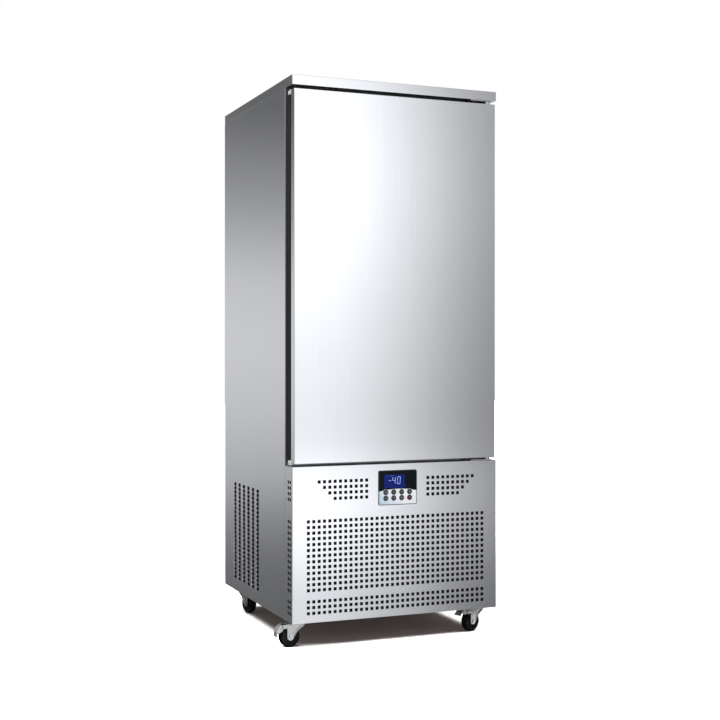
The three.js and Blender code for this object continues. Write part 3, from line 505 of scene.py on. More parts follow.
def softened(node, radius=0.0005, segments=2):
    """A copy of a node's mesh in the frame's place, with whole faces and rounded edges."""
    part = bmesh.new()
    part.from_mesh(frame["nodes"][node].data)
    bmesh.ops.remove_doubles(part, verts=part.verts, dist=SAME_PLACE)
    bmesh.ops.dissolve_limit(part, angle_limit=math.radians(1), verts=part.verts, edges=part.edges)
    round_edges(part, sharp_edges(part), radius, segments)
    return part


def merged(part):
    """A part without doubles, its faces pointing outwards."""
    bmesh.ops.remove_doubles(part, verts=part.verts, dist=SAME_PLACE)
    bmesh.ops.recalc_face_normals(part, faces=part.faces)
    return part


def new_verts(made):
    return [item for item in made["geom"] if isinstance(item, bmesh.types.BMVert)]


def turned(profile, steps=48, axis="Z"):
    """A line of (radius, height) points turned about an axis through the origin."""
    part = bmesh.new()
    verts = [part.verts.new((radius, 0, height)) for radius, height in profile]
    edges = [part.edges.new(pair) for pair in zip(verts, verts[1:])]
    bmesh.ops.spin(
        part,
        geom=verts + edges,
        cent=(0, 0, 0),
        axis=(0, 0, 1),
        angle=2 * math.pi,
        steps=steps,
        use_merge=True,
    )
    merged(part)
    if axis == "Y":
        part.transform(rotation(90, "X"))
    return part


def closed(profile):
    """A profile that ends where it starts, so that a ring is turned from it."""
    return profile + profile[:1]


def mirrored(profile, radius=1, height=1):
    """A profile and its mirror image in height, as shares of a radius and a height."""
    half = [(radius * r, height * h) for r, h in profile]
    return half + [(r, -h) for r, h in reversed(half)]


def outlined(points, thickness, radius=0.0, segments=2):
    """An outline in X and Z, drawn along Y from 0 to its thickness."""
    part = bmesh.new()
    face = part.faces.new([part.verts.new((x, 0, z)) for x, z in points])
    made = bmesh.ops.extrude_face_region(part, geom=[face])
    bmesh.ops.translate(part, vec=(0, thickness, 0), verts=new_verts(made))
    bmesh.ops.recalc_face_normals(part, faces=part.faces)
    if radius:
        round_edges(part, sharp_edges(part, 60), radius, segments)
    return part


def tube(points, radius, bend=0.0, sides=4):
    """A round tube through the points, with a rounded bend of a given reach at each inner one."""
    route = [Vector(points[0])]
    for before, corner, after in zip(points, points[1:], points[2:]):
        corner = Vector(corner)
        enter = corner + (Vector(before) - corner).normalized() * bend
        leave = corner + (Vector(after) - corner).normalized() * bend
        for step in range(9):
            share = step / 8
            first, second = enter.lerp(corner, share), corner.lerp(leave, share)
            route.append(first.lerp(second, share))
    route.append(Vector(points[-1]))
    curve = bpy.data.curves.new("route", "CURVE")
    curve.dimensions = "3D"
    curve.bevel_depth = radius
    curve.bevel_resolution = sides
    curve.use_fill_caps = True
    spline = curve.splines.new("POLY")
    spline.points.add(len(route) - 1)
    for point, place in zip(spline.points, route):
        point.co = (*place, 1)
    holder = bpy.data.objects.new("route", curve)
    mesh = bpy.data.meshes.new_from_object(holder)
    part = bmesh.new()
    part.from_mesh(mesh)
    bpy.data.meshes.remove(mesh)
    bpy.data.objects.remove(holder)
    bpy.data.curves.remove(curve)
    return merged(part)


def stationed_grid(columns, rows):
    """A sheet whose lines of vertices run at the columns' (x, y) points and the rows' heights."""
    part = bmesh.new()
    wide, high = len(columns) - 1, len(rows) - 1
    bmesh.ops.create_grid(part, x_segments=wide, y_segments=high, size=1)
    for v in part.verts:
        column = round((v.co.x + 1) / 2 * wide)
        row = round((v.co.y + 1) / 2 * high)
        v.co = (*columns[column], rows[row])
    part.normal_update()
    return part


def faced(part, direction, face=None):
    """Turns a sheet over if its first face, or the one given, looks against a direction."""
    if (face or part.faces[:][0]).normal.dot(Vector(direction)) < 0:
        bmesh.ops.reverse_faces(part, faces=part.faces)
        part.normal_update()
    return part


def open_faces(part, is_open):
    """Takes away the faces whose middle the test picks."""
    found = [f for f in part.faces if is_open(f.calc_center_median())]
    bmesh.ops.delete(part, geom=found, context="FACES")


def thickened(part, thickness):
    """Gives an open sheet its thickness, on the side that its faces point away from."""
    bmesh.ops.solidify(part, geom=part.faces[:], thickness=thickness)
    bmesh.ops.recalc_face_normals(part, faces=part.faces)
    return part


def gather(parts):
    """One mesh of several parts, each of them given alone or with its own matrix."""
    whole = bmesh.new()
    for part in parts:
        part, matrix = part if isinstance(part, tuple) else (part, Matrix.Identity(4))
        part.transform(matrix)
        mesh = bpy.data.meshes.new("part")
        part.to_mesh(mesh)
        part.free()
        whole.from_mesh(mesh)
        bpy.data.meshes.remove(mesh)
    return whole


def painted(part, index):
    """Gives all the faces of a part one of its piece's materials."""
    for face in part.faces:
        face.material_index = index
    return part


def moved(part, x=0, y=0, z=0):
    part.transform(shift(x, y, z))
    return part


def hand_over(name, part, finishes, node, replaces=True, place=PLACE, smooth=32):
    """Makes a piece of a mesh; it rides with the node, and may stand for it."""
    part.transform(place)
    mesh = bpy.data.meshes.new(name)
    part.to_mesh(mesh)
    part.free()
    for finish in finishes:
        mesh.materials.append(bpy.data.materials[finish + FINISH_SUFFIX])
    mesh.polygons.foreach_set("use_smooth", [True] * len(mesh.polygons))
    mesh.set_sharp_from_angle(angle=math.radians(smooth))
    piece = bpy.data.objects.new(name, mesh)
    bpy.context.scene.collection.objects.link(piece)
    # The modifier keeps rounded folds from bending the shading of a flat sheet.
    flat = piece.modifiers.new("flat faces", "WEIGHTED_NORMAL")
    flat.keep_sharp = True
    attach(piece, frame["nodes"][node]["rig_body"])
    if replaces:
        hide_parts(node)
    return piece


def hand_over_softened(node, finish, radius=0.0005, segments=2):
    """A piece made of a node's rounded copy."""
    part = softened(node, radius, segments)
    return hand_over(node + "_finished", part, [finish], node, place=IN_FRAME)


def screw(radius=0.0035, height=0.0016):
    """A pan head with a crossed recess, facing -Y, its seat at y = 0."""
    part = bmesh.new()
    bmesh.ops.create_circle(part, cap_ends=True, segments=16, radius=radius)

    def highest():
        return max(part.faces, key=lambda f: f.calc_center_median().z)

    for step, (rise, shrink) in enumerate(((0.55, 0.93), (0.45, 0.7))):
        top = highest()
        verts = new_verts(bmesh.ops.extrude_face_region(part, geom=[top]))
        bmesh.ops.translate(part, vec=(0, 0, rise * height), verts=verts)
        bmesh.ops.scale(part, vec=(shrink, shrink, 1), verts=verts)
        if step and top.is_valid:
            part.faces.remove(top)
    top = highest()
    bmesh.ops.inset_region(part, faces=[top], thickness=0.2 * radius)
    for index, loop in enumerate(top.loops):
        shrink = 1 if index % 4 == 0 else 0.42
        loop.vert.co.x *= shrink
        loop.vert.co.y *= shrink
    bmesh.ops.inset_region(part, faces=[top], thickness=0.00005, depth=-0.5 * height)
    bmesh.ops.recalc_face_normals(part, faces=part.faces)
    part.transform(rotation(90, "X"))
    return part


def screws_at(places, turn, *size):
    """Screws at their places, turned from facing -Y."""
    return [(screw(*size), shift(*place) @ turn) for place in places]


def hex_head(across, height):
    """A hexagon head on a thin washer, its seat at z = 0, facing +Z."""
    part = bmesh.new()
    washer = 0.0008
    bmesh.ops.create_cone(
        part, cap_ends=True, segments=6, radius1=across / 2, radius2=across / 2, depth=height
    )
    round_edges(part, [e for e in part.edges if e.calc_length() > 0], 0.0004, 1)
    moved(part, z=washer + height / 2)
    disc = turned([(0, 0), (0.62 * across, 0), (0.62 * across, washer), (0, washer)], 24)
    return gather([part, disc])


def arc_points(centre, radius, start, end, steps):
    """Points on an arc, its angles in degrees."""
    for step in range(steps + 1):
        angle = math.radians(start + (end - start) * step / steps)
        yield centre[0] + radius * math.cos(angle), centre[1] + radius * math.sin(angle)


def spread(count, middle, pitch):
    """Places that lie a pitch apart about a middle."""
    return [middle + (index - (count - 1) / 2) * pitch for index in range(count)]


# ---------------------------------------------------------------- cabinet

LOUVRE_FIRST_Y = 0.400
LOUVRE_COLUMN_PITCH = 0.0586
LOUVRE_FIRST_Z = 0.054
SIDE_FLANGE = 0.020
SIDE_FOLD = 1.8  # of the side sheet's front edge, as a share of the usual fold
HEM_HEIGHT = 0.0032  # of the top sheet's lower edge, which leans in a little
HEM_TURN = 0.00037
LOUVRE_LIP = 0.0009
LOUVRE_WALL = 0.0004
LOUVRE_SKEW = 0.0045  # by which a louvre's upper edge lies ahead of its lower one
BACK_SLOT_ROWS = 14
BACK_SLOT_LENGTH = 0.520
BACK_SLOT_HEIGHT = 0.012
BACK_SLOT_PITCH = 0.026
BACK_SLOT_FIRST_Z = 0.080
BACK_SLOT_POST = 0.006  # half the width of the two posts that divide the slots
BACK_SCREW_X = 0.385
BACK_SCREW_HEIGHT = 0.0016


def side_panel(side):
    """A side sheet with its pressed louvres and its folded front flange; side is -1 or 1."""
    s = sizes()
    half_width, half_height = s.louvre_width / 2, s.louvre_height / 2
    columns = [LOUVRE_FIRST_Y + index * LOUVRE_COLUMN_PITCH for index in range(s.louvre_columns)]
    rows = [LOUVRE_FIRST_Z + index * s.louvre_pitch for index in range(s.louvre_rows)]
    outer, fold = HALF_WIDTH, SIDE_FOLD * s.fold
    path = [(outer, BODY_BACK)]
    for y in reversed(columns):
        path += [(outer, y + half_width), (outer, y - half_width)]
    path += arc_points((outer - fold, BODY_FRONT + fold), fold, 0, -90, 4)
    path += [(outer - SIDE_FLANGE, BODY_FRONT)]
    flange_low = local_box("base_frame")[1].z + FIT
    heights = [0.0, flange_low, PANEL_TOP]
    for z in rows:
        heights += [z - half_height, z + half_height]
    part = faced(stationed_grid(path, sorted(heights)), (1, 0, 0))
    open_faces(part, lambda c: c.z < flange_low and c.x < outer - fold)

    def is_louvre(face):
        centre = face.calc_center_median()
        in_column = any(abs(centre.y - y) < half_width / 2 for y in columns)
        return in_column and any(abs(centre.z - z) < half_height / 2 for z in rows)

    pressed = [f for f in part.faces if is_louvre(f)]
    for thickness, depth in ((LOUVRE_LIP, LOUVRE_LIP), (LOUVRE_WALL, s.louvre_depth)):
        bmesh.ops.inset_individual(part, faces=pressed, thickness=thickness, depth=-depth)
    for face in pressed:
        middle = face.calc_center_median().z
        for v in face.verts:
            v.co.y += LOUVRE_SKEW if v.co.z < middle else -LOUVRE_SKEW
    bmesh.ops.delete(part, geom=pressed, context="FACES")
    thickened(part, s.sheet)
    if side < 0:
        bmesh.ops.scale(part, vec=(-1, 1, 1), verts=part.verts)
        bmesh.ops.reverse_faces(part, faces=part.faces)
    return part


def top_panel():
    """The folded top sheet: a shallow tray with a return under its front edge."""
    s = sizes()
    low, high = local_box("top_panel")
    tray = box_part(low, high)
    everything = tray.verts[:] + tray.edges[:] + tray.faces[:]
    hem_top = (0, 0, low.z + HEM_HEIGHT)
    bmesh.ops.bisect_plane(tray, geom=everything, plane_co=hem_top, plane_no=(0, 0, 1))
    middle = (low + high) / 2
    for v in tray.verts:
        if v.co.z < low.z + FIT:
            v.co.x -= math.copysign(HEM_TURN, v.co.x - middle.x)
            v.co.y -= math.copysign(HEM_TURN, v.co.y - middle.y)

    def is_folded(edge):
        first, second = (v.co.z for v in edge.verts)
        return abs(first - second) > FIT or first > high.z - FIT

    round_edges(tray, [e for e in tray.edges if is_folded(e)], s.fold, 4)
    bottom = [f for f in tray.faces if f.calc_center_median().z < low.z + FIT]
    bmesh.ops.delete(tray, geom=bottom, context="FACES_ONLY")
    thickened(tray, s.sheet)
    edge = s.sheet + FIT
    return_high = (high.x - edge, BODY_FRONT + s.sheet, low.z + s.sheet)
    return gather([tray, rounded_box((low.x + edge, low.y + edge, low.z), return_high, 0.0004)])


def back_panel():
    """The back sheet with its air slots and its row of screws."""
    low, high = local_box("back_panel")
    half = BACK_SLOT_LENGTH / 2
    middles = [BACK_SLOT_FIRST_Z + index * BACK_SLOT_PITCH for index in range(BACK_SLOT_ROWS)]
    slots = [(z - BACK_SLOT_HEIGHT / 2, z + BACK_SLOT_HEIGHT / 2) for z in middles]
    posts = [(x - BACK_SLOT_POST, x + BACK_SLOT_POST) for x in (-half / 3, half / 3)]
    heights = [low.z, *[z for slot in slots for z in slot], LOWER_HEIGHT, high.z]
    stations = sorted({low.x, high.x, -half, half, *[x for post in posts for x in post]})
    part = faced(stationed_grid([(x, high.y) for x in stations], heights), (0, 1, 0))

    def in_slot(centre):
        beside = any(a < centre.x < b for a, b in posts)
        return abs(centre.x) < half and not beside and any(a < centre.z < b for a, b in slots)

    open_faces(part, in_slot)
    thickened(part, sizes().sheet)
    rows = (0.02, 0.27, LOWER_HEIGHT - 0.012, LOWER_HEIGHT + 0.016, 1.0, 1.42, high.z - 0.02)
    places = [(x, z) for z in rows for x in (-BACK_SCREW_X, BACK_SCREW_X)]
    places += [(x, rows[0]) for x in (-0.2, 0.0, 0.2)]
    places = [(x, high.y - BACK_SCREW_HEIGHT, z) for x, z in places]
    return gather([part, *screws_at(places, rotation(180, "Z"))])


class CHILLER_OT_cabinet(bpy.types.Operator):
    """Model the top, the sides, the back and what shows of the frame"""

    bl_idname = "chiller.cabinet"
    bl_label = "Cabinet"

    def execute(self, context):
        # The top sheet takes the steel with painted shade.
        hand_over("top_sheet", top_panel(), ["top_steel_painted_shade"], "top_panel")
        for side, place in ((-1, "left"), (1, "right")):
            hand_over(place + "_side_sheet", side_panel(side), ["steel"], place + "_side_panel")
        hand_over("back_sheet", back_panel(), ["steel"], "back_panel")
        hand_over_softened("door_frame", "black_plastic", 0.0012)
        hand_over_softened("base_frame", "galvanised", 0.0008)
        hand_over_softened("machine_deck", "galvanised", 0.0004)
        hand_over_softened("cabinet_foam", "foam", 0.001, 1)
        hand_over_softened("inner_liner", "chamber_steel", 0.0005)
        return {"FINISHED"}


# ---------------------------------------------------------------- lower front panel

FIELD_HALF = 17  # columns of holes on each side of the middle one
FIELD_ROWS = [0.033 + 0.020 * index for index in range(17) if index != 3]
CORNER_ROWS = [0.431, 0.451, 0.471, 0.491]
CORNER_FIRST_X = 0.120
RETURN_HOLE_Y = (0.020, 0.040)
RETURN_HOLE_WIDER = 0.0016  # on each side of a hole in the bent-back sides
PANEL_OPENING = (0.065, 0.4082, 0.5122)  # half width, lowest and highest
LID_FLANGE = (0.0085, 0.0082)  # of the front sheet's lid: before its rear edge, and its height
LID_FLANGE_END = 0.290
RETURN_SCREW_Y = 0.060
RETURN_SCREW_ROWS = (0.069, 0.476)
RETURN_SCREW = (0.0034, 0.0014)  # radius and height


def in_front_hole(x, z):
    """Whether a point of the front face lies in an air hole or in the key panel's opening."""
    half = sizes().hole / 2
    pitch = sizes().hole_pitch
    if abs(x) < PANEL_OPENING[0] and PANEL_OPENING[1] < z < PANEL_OPENING[2]:
        return True
    if abs(x - pitch * round(x / pitch)) > half:
        return False
    if any(abs(z - row) < half for row in FIELD_ROWS):
        return abs(x) < FIELD_HALF * pitch + half
    for index, row in enumerate(CORNER_ROWS):
        if abs(z - row) < half:
            last = CORNER_FIRST_X + (6 + index) * pitch
            return CORNER_FIRST_X - half < abs(x) < last + half
    return False


def front_panel():
    """The perforated front sheet with its two bent-back sides and its top."""
    s = sizes()
    half, fold, x = s.hole / 2, s.fold, HALF_WIDTH
    depth = PANEL_HIGH.y - PANEL_LOW.y
    beside = half + RETURN_HOLE_WIDER
    left = [(-x, depth)]
    for y in reversed(RETURN_HOLE_Y):
        left += [(-x, y + beside), (-x, y - beside)]
    left += arc_points((-x + fold, fold), fold, 180, 270, 4)
    right = [(-px, py) for px, py in reversed(left)]
    middle = []
    for column in range(-FIELD_HALF, FIELD_HALF + 1):
        middle += [(column * s.hole_pitch - half, 0), (column * s.hole_pitch + half, 0)]
    rows = FIELD_ROWS + CORNER_ROWS
    top = LOWER_HEIGHT - s.sheet
    heights = {0.0, top, *PANEL_OPENING[1:]}
    for row in rows:
        heights |= {row - half, row + half}
    part = stationed_grid(left + middle + right, sorted(heights))
    faced(part, (0, -1, 0), next(f for f in part.faces if abs(f.calc_center_median().x) < half))

    def is_open(centre):
        if abs(centre.x) < x - fold:
            return in_front_hole(centre.x, centre.z)
        in_column = any(abs(centre.y - y) < beside for y in RETURN_HOLE_Y)
        return in_column and any(abs(centre.z - row) < half for row in rows)

    open_faces(part, is_open)
    thickened(part, s.sheet)
    lid = rounded_box((-x, 0, top + 0.00002), (x, depth, LOWER_HEIGHT), 0.0005)
    rear = depth - LID_FLANGE[0]
    flange_high = (LID_FLANGE_END, rear, LOWER_HEIGHT + LID_FLANGE[1])
    flange = rounded_box((-x + 0.004, rear - 0.001, top), flange_high, 0.0004)
    screws = []
    for side in (-1, 1):
        places = [(side * (x - RETURN_SCREW[1]), RETURN_SCREW_Y, z) for z in RETURN_SCREW_ROWS]
        screws += screws_at(places, rotation(90 * side, "Z"), *RETURN_SCREW)
    return gather([part, painted(lid, 1), painted(flange, 1), *screws])


# Sheets of painted shade behind the air holes and louvres, so that these read black.
HOLE_SHADE_RADIUS = 0.001
HOLE_SHADE_HALF_WIDTH = 0.352
HOLE_SHADE_Y = (0.0035, 0.0085)  # of the sheets of painted shade behind the front face
HOLE_SHADE_END = 0.503


def hole_shade_sheets():
    """Near-black sheets with a foam grain behind every group of air holes and louvres: painted
    shade, so that the holes read black.
    """
    first, last = FIELD_ROWS[0] - 0.011, FIELD_ROWS[-1] + 0.013
    front, rear = HOLE_SHADE_Y
    half = HOLE_SHADE_HALF_WIDTH
    parts = [rounded_box((-half, front, first), (half, rear, last), HOLE_SHADE_RADIUS)]
    spans = (  # behind the corner holes, the bent-back side's holes and the louvres
        ((0.108, front, 0.419), (0.318, rear, HOLE_SHADE_END)),
        ((0.393, 0.010, first), (0.3985, 0.050, HOLE_SHADE_END)),
        ((0.384, 0.370, 0.036), (0.389, 0.724, 0.440)),
    )
    for side in (-1, 1):
        for low, high in spans:
            ends = sorted((side * low[0], side * high[0]))
            corners = (ends[0], *low[1:]), (ends[1], *high[1:])
            parts.append(rounded_box(*corners, HOLE_SHADE_RADIUS))
    return gather(parts)


class CHILLER_OT_front_panel(bpy.types.Operator):
    """Model the perforated front of the machine compartment"""

    bl_idname = "chiller.front_panel"
    bl_label = "Front panel"

    def execute(self, context):
        hand_over("front_sheet", front_panel(), ["steel", "galvanised"], "front_panel")
        # The sheets of painted shade behind the holes ride with the control box.
        hand_over("hole_shade_sheets", hole_shade_sheets(), ["painted_hole_shade"], "control_box", replaces=False)
        return {"FINISHED"}


# ---------------------------------------------------------------- door


PRESSED_RISE = 0.006  # of the inner pan's middle, above its rim
PRESSED_INSET = 0.016
GASKET_WIDTH = 0.014
GASKET_INSET = 0.005
GASKET_BELLOWS = [  # of one flank, from the foot: how far in, and the share of the depth
    (0.0, 0.0),
    (0.0, 0.16),
    (0.003, 0.26),
    (0.0005, 0.38),
    (0.0025, 0.5),
    (0.0, 0.6),
    (0.0, 0.9),
    (0.0012, 1.0),
]


def door_skin():
    """The door's outer pan, open towards the back."""
    s = sizes()
    pan = box_part(DOOR_LOW, DOOR_HIGH)
    front = [e for e in pan.edges if min(v.co.y for v in e.verts) < DOOR_LOW.y + FIT]
    round_edges(pan, front, s.fold, 4)
    rear = [f for f in pan.faces if f.calc_center_median().y > DOOR_HIGH.y - FIT]
    bmesh.ops.delete(pan, geom=rear, context="FACES_ONLY")
    return thickened(pan, s.sheet)


def door_liner():
    """The door's inner pan with its pressed middle."""
    low, high = local_box("door_liner")
    rear = high.y - PRESSED_RISE
    half = CHAMBER_HALF_WIDTH - PRESSED_INSET
    rows = [low.z, CHAMBER_LOW + PRESSED_INSET, CHAMBER_HIGH - PRESSED_INSET, high.z]
    part = stationed_grid([(x, rear) for x in (low.x, -half, half, high.x)], rows)
    faced(part, (0, 1, 0))
    middle = [f for f in part.faces if abs(f.calc_center_median().x) < half]
    middle = [f for f in middle if rows[1] < f.calc_center_median().z < rows[2]]
    bmesh.ops.inset_region(part, faces=middle, thickness=PRESSED_RISE, depth=PRESSED_RISE)
    rim = [e for e in part.edges if e.is_boundary]
    walls = new_verts(bmesh.ops.extrude_edge_only(part, edges=rim))
    bmesh.ops.translate(part, vec=(0, low.y - rear, 0), verts=walls)
    bmesh.ops.recalc_face_normals(part, faces=part.faces)
    round_edges(part, sharp_edges(part), 0.003, 4)
    bmesh.ops.recalc_face_normals(part, faces=part.faces)
    faced(part, (0, 1, 0), max(part.faces, key=lambda f: f.calc_area()))
    return thickened(part, sizes().sheet)


def frame_ring(profile, half_width, low, high):
    """A closed profile of (outward, y) points led round an upright rectangle."""
    part = bmesh.new()

    def place(outward, y, side, up):
        return Vector((side * (half_width + outward), y, high + outward if up else low - outward))

    verts = [part.verts.new(place(*point, -1, False)) for point in profile]
    edges = [part.edges.new(pair) for pair in zip(verts, verts[1:] + verts[:1])]
    for side, up in ((1, False), (1, True), (-1, True), (-1, False)):
        made = bmesh.ops.extrude_edge_only(part, edges=edges)
        new = new_verts(made)
        verts = [min(new, key=lambda v: (v.co - before.co).length) for before in verts]
        for v, point in zip(verts, profile):
            v.co = place(*point, side, up)
        new_edges = [item for item in made["geom"] if isinstance(item, bmesh.types.BMEdge)]
        edges = [e for e in new_edges if set(e.verts) <= set(new)]
    return merged(part)


def door_gasket():
    """The magnetic gasket: a foot in the door, a bellows and a round lip that meets the frame."""
    low, high = local_box("door_gasket")
    flank = [(inwards, low.y + share * (high.y - low.y)) for inwards, share in GASKET_BELLOWS]
    profile = [(GASKET_WIDTH - inwards, y) for inwards, y in flank] + flank[::-1]
    half = CHAMBER_HALF_WIDTH + GASKET_INSET
    return frame_ring(profile, half, CHAMBER_LOW - GASKET_INSET, CHAMBER_HIGH + GASKET_INSET)


class CHILLER_OT_door(bpy.types.Operator):
    """Model the door: its pans, gasket, grip, caps and hinges"""

    bl_idname = "chiller.door"
    bl_label = "Door"

    def execute(self, context):
        hand_over("door_outer_pan", door_skin(), ["steel"], "door_skin")
        hand_over("door_inner_pan", door_liner(), ["chamber_steel"], "door_liner")
        hand_over("door_seal", door_gasket(), ["rubber"], "door_gasket", smooth=50)
        hand_over_softened("door_foam", "foam", 0.001, 1)
        hand_over_softened("door_grip", "black_plastic", 0.0009)
        hand_over_softened("grip_cap_bottom", "pale_plastic", 0.0016, 3)
        hand_over_softened("grip_cap_top", "pale_plastic", 0.0016, 3)
        hand_over_softened("hinge_bracket_bottom", "zinc", 0.0006)
        hand_over_softened("hinge_bracket_top", "zinc", 0.0006)
        return {"FINISHED"}


# ---------------------------------------------------------------- controls

RED_KEY = "key_8"
KEY_RADIUS = 0.0086
KEY_PROUD = 0.0007
KEY_PITCH = (0.0311, 0.0212)
KEY_MIDDLE = (-0.0006, 0.4334)
DIGIT_WIDTH = 0.0105
DIGIT_HEIGHT = 0.0250
DIGIT_BAR = 0.0021
DIGIT_LEAN = math.radians(4)
DIGIT_BARS = {  # places as shares of half the width and half the height, and the angle
    "top": (0, 1, 0),
    "middle": (0, 0, 0),
    "bottom": (0, -1, 0),
    "upper_left": (-1, 0.5, 90),
    "upper_right": (1, 0.5, 90),
    "lower_left": (-1, -0.5, 90),
    "lower_right": (1, -0.5, 90),
}
DIGIT_RISE = 0.003  # above the middle of the display
DISPLAY_DIGITS = (  # each figure's place in X, and the bars that are lit
    (-0.0149, ("upper_left", "upper_right", "middle", "lower_right")),
    (0.0042, ("upper_left", "upper_right", "lower_left", "lower_right", "top", "bottom")),
    (-0.0305, ("middle",)),
)
LAMP_DROP = 0.0042  # below the upper edge of the display
FIGURES_PROUD = 0.00022
DISPLAY_LAMPS = (-0.0415, -0.0295, -0.0245, -0.0175)
RING_SIDES = 40
RINGS = ((0.0004, 0.0013, 1), (0.0013, 0.0023, 0))  # outside a key: from, to and material
RIM_RADIUS = 0.006
RIM_WIDTH = 0.0024
KEY_DISH = [(0, 0.0003), (0.55, 0.00015), (0.82, 0), (0.93, 0.0001), (1, 0.0005)]
KEY_SIGNS = [  # lines, each with its place in X and Z, its length, width and angle
    [(0, 0, 0.008, 0.0011, angle) for angle in (0, 60, 120)],
    [(-0.0018, 0, 0.0058, 0.0012, -45), (0.0018, 0, 0.0058, 0.0012, 45)],
    [(-0.0018, 0, 0.0058, 0.0012, 45), (0.0018, 0, 0.0058, 0.0012, -45)],
    [(0, z, 0.0064, 0.0011) for z in (-0.0022, 0, 0.0022)],
    [(0, 0, 0.007, 0.0012, angle) for angle in (90, 0)],
    [(0, 0, 0.007, 0.0012)],
    [(x, 0, 0.0064, 0.0011, 90) for x in (-0.0022, 0, 0.0022)],
    [(0, 0.0016, 0.0042, 0.0012, 90)],
]


def rounded_frame(low, high, radius, width):
    """A flat frame in X and Z with round corners."""
    part = box_part(low, high)
    corners = [e for e in part.edges if abs(e.verts[0].co.y - e.verts[1].co.y) > FIT / 2]
    round_edges(part, corners, radius, 6)
    part.normal_update()
    ends = [f for f in part.faces if abs(f.normal.y) > 0.9]
    bmesh.ops.inset_region(part, faces=ends, thickness=width)
    bmesh.ops.delete(part, geom=ends, context="FACES")
    bmesh.ops.bridge_loops(part, edges=[e for e in part.edges if e.is_boundary])
    bmesh.ops.recalc_face_normals(part, faces=part.faces)
    return part


def key_places():
    return [
        (x, z)
        for z in reversed(spread(2, KEY_MIDDLE[1], KEY_PITCH[1]))
        for x in spread(4, KEY_MIDDLE[0], KEY_PITCH[0])
    ]


def bar(x, z, length, width, angle=0.0, thickness=0.0002):
    """A flat bar with pointed ends in X and Z, its face at y = 0, and where it goes."""
    tip, half = width / 2, length / 2
    points = [(-half, 0), (-half + tip, -tip), (half - tip, -tip)]
    points += [(half, 0), (half - tip, tip), (-half + tip, tip)]
    return outlined(points, thickness), shift(x, 0, z) @ rotation(angle, "Y")


def digit(bars, x, z):
    """A figure of lit bars, given by their names."""
    lean = Matrix.Identity(4)
    lean[0][2] = math.tan(DIGIT_LEAN)
    made = []
    for name in bars:
        across, up, angle = DIGIT_BARS[name]
        length = (DIGIT_HEIGHT / 2 if angle else DIGIT_WIDTH) - 0.1 * DIGIT_BAR
        middle = (across * DIGIT_WIDTH / 2, up * DIGIT_HEIGHT / 2)
        part, turn = bar(*middle, length, DIGIT_BAR, angle)
        made.append((part, shift(x, 0, z) @ lean @ turn))
    return made


def display_figures():
    """The temperature on the display, and a few small lamps above it."""
    low, high = local_box("display_window")
    middle_z = (low.z + high.z) / 2 + DIGIT_RISE
    parts = [bar(x, high.z - LAMP_DROP, 0.0026, 0.0011) for x in DISPLAY_LAMPS]
    for x, bars in DISPLAY_DIGITS:
        parts += digit(bars, x, middle_z)
    return moved(gather(parts), y=low.y - FIGURES_PROUD)


def key_cap(index, x, z):
    """A key with a shallow dish, and a plain sign on it."""
    profile = [(share * KEY_RADIUS, KEY_PROUD - dip) for share, dip in KEY_DISH]
    cap = turned([*profile, (KEY_RADIUS, -0.0021), (0, -0.0021)], RING_SIDES, "Y")
    sign = painted(gather([bar(*line) for line in KEY_SIGNS[index]]), 1)
    return moved(gather([cap, moved(sign, y=-KEY_PROUD - 0.00005)]), x, 0, z)


class CHILLER_OT_controls(bpy.types.Operator):
    """Model the key panel, its display and its keys"""

    bl_idname = "chiller.controls"
    bl_label = "Controls"

    def execute(self, context):
        node = "control_bezel"
        low, high = local_box(node)
        plate = softened(node, 0.0004)
        hand_over("key_panel_plate", plate, ["key_panel"], node, place=IN_FRAME)
        rings = []
        for x, z in key_places():
            for start, end, index in RINGS:
                inner, outer = KEY_RADIUS + start, KEY_RADIUS + end
                outline = closed([(inner, 0), (inner, 0.0002), (outer, 0.0002), (outer, 0)])
                ring = moved(turned(outline, RING_SIDES, "Y"), x, low.y, z)
                rings.append(painted(ring, index))
        hand_over("key_rings", gather(rings), ["print", "key"], node, replaces=False)
        proud = Vector((0.0001, 0.0003, 0.0001))
        rim_high = Vector((high.x, low.y + 0.0004, high.z)) + proud
        rim = rounded_frame(low - proud, rim_high, RIM_RADIUS, RIM_WIDTH)
        hand_over("key_panel_rim", rim, ["black_plastic"], node, replaces=False)
        hand_over_softened("display_window", "display", 0.0003)
        figures = display_figures()
        hand_over("display_figures", figures, ["figures"], "display_window", replaces=False)
        hand_over_softened("control_box", "black_plastic", 0.002)
        for index, (x, z) in enumerate(key_places()):
            name = "key_%d" % (index + 1)
            finish = "red_key" if name == RED_KEY else "key"
            hand_over(name + "_cap", moved(key_cap(index, x, z), y=low.y), [finish, "sign"], name)
        return {"FINISHED"}


# ---------------------------------------------------------------- castors

TRAILS = {"front_left": 183, "front_right": 198, "rear_left": -75, "rear_right": -110}
WHEEL_RADIUS = 0.0375
WHEEL_WIDTH = 0.025
TRAIL = 0.035
AXLE_Z = WHEEL_RADIUS - PANEL_LOW.z
FORK_BACK = -0.0161
FORK_TOP = -0.0083
LEG_GAP = 0.002  # between the wheel and each leg
LEG_SHEET = 0.0025
LEG_EYE = 0.0125
PAD_BEND = 56  # degrees, as are the slope and the angles below
ARM_SLOPE = 32
BRAKE_PIVOT = (0.060, -0.019)
BRAKE_ANGLES = {"front_left": 35, "front_right": -8}

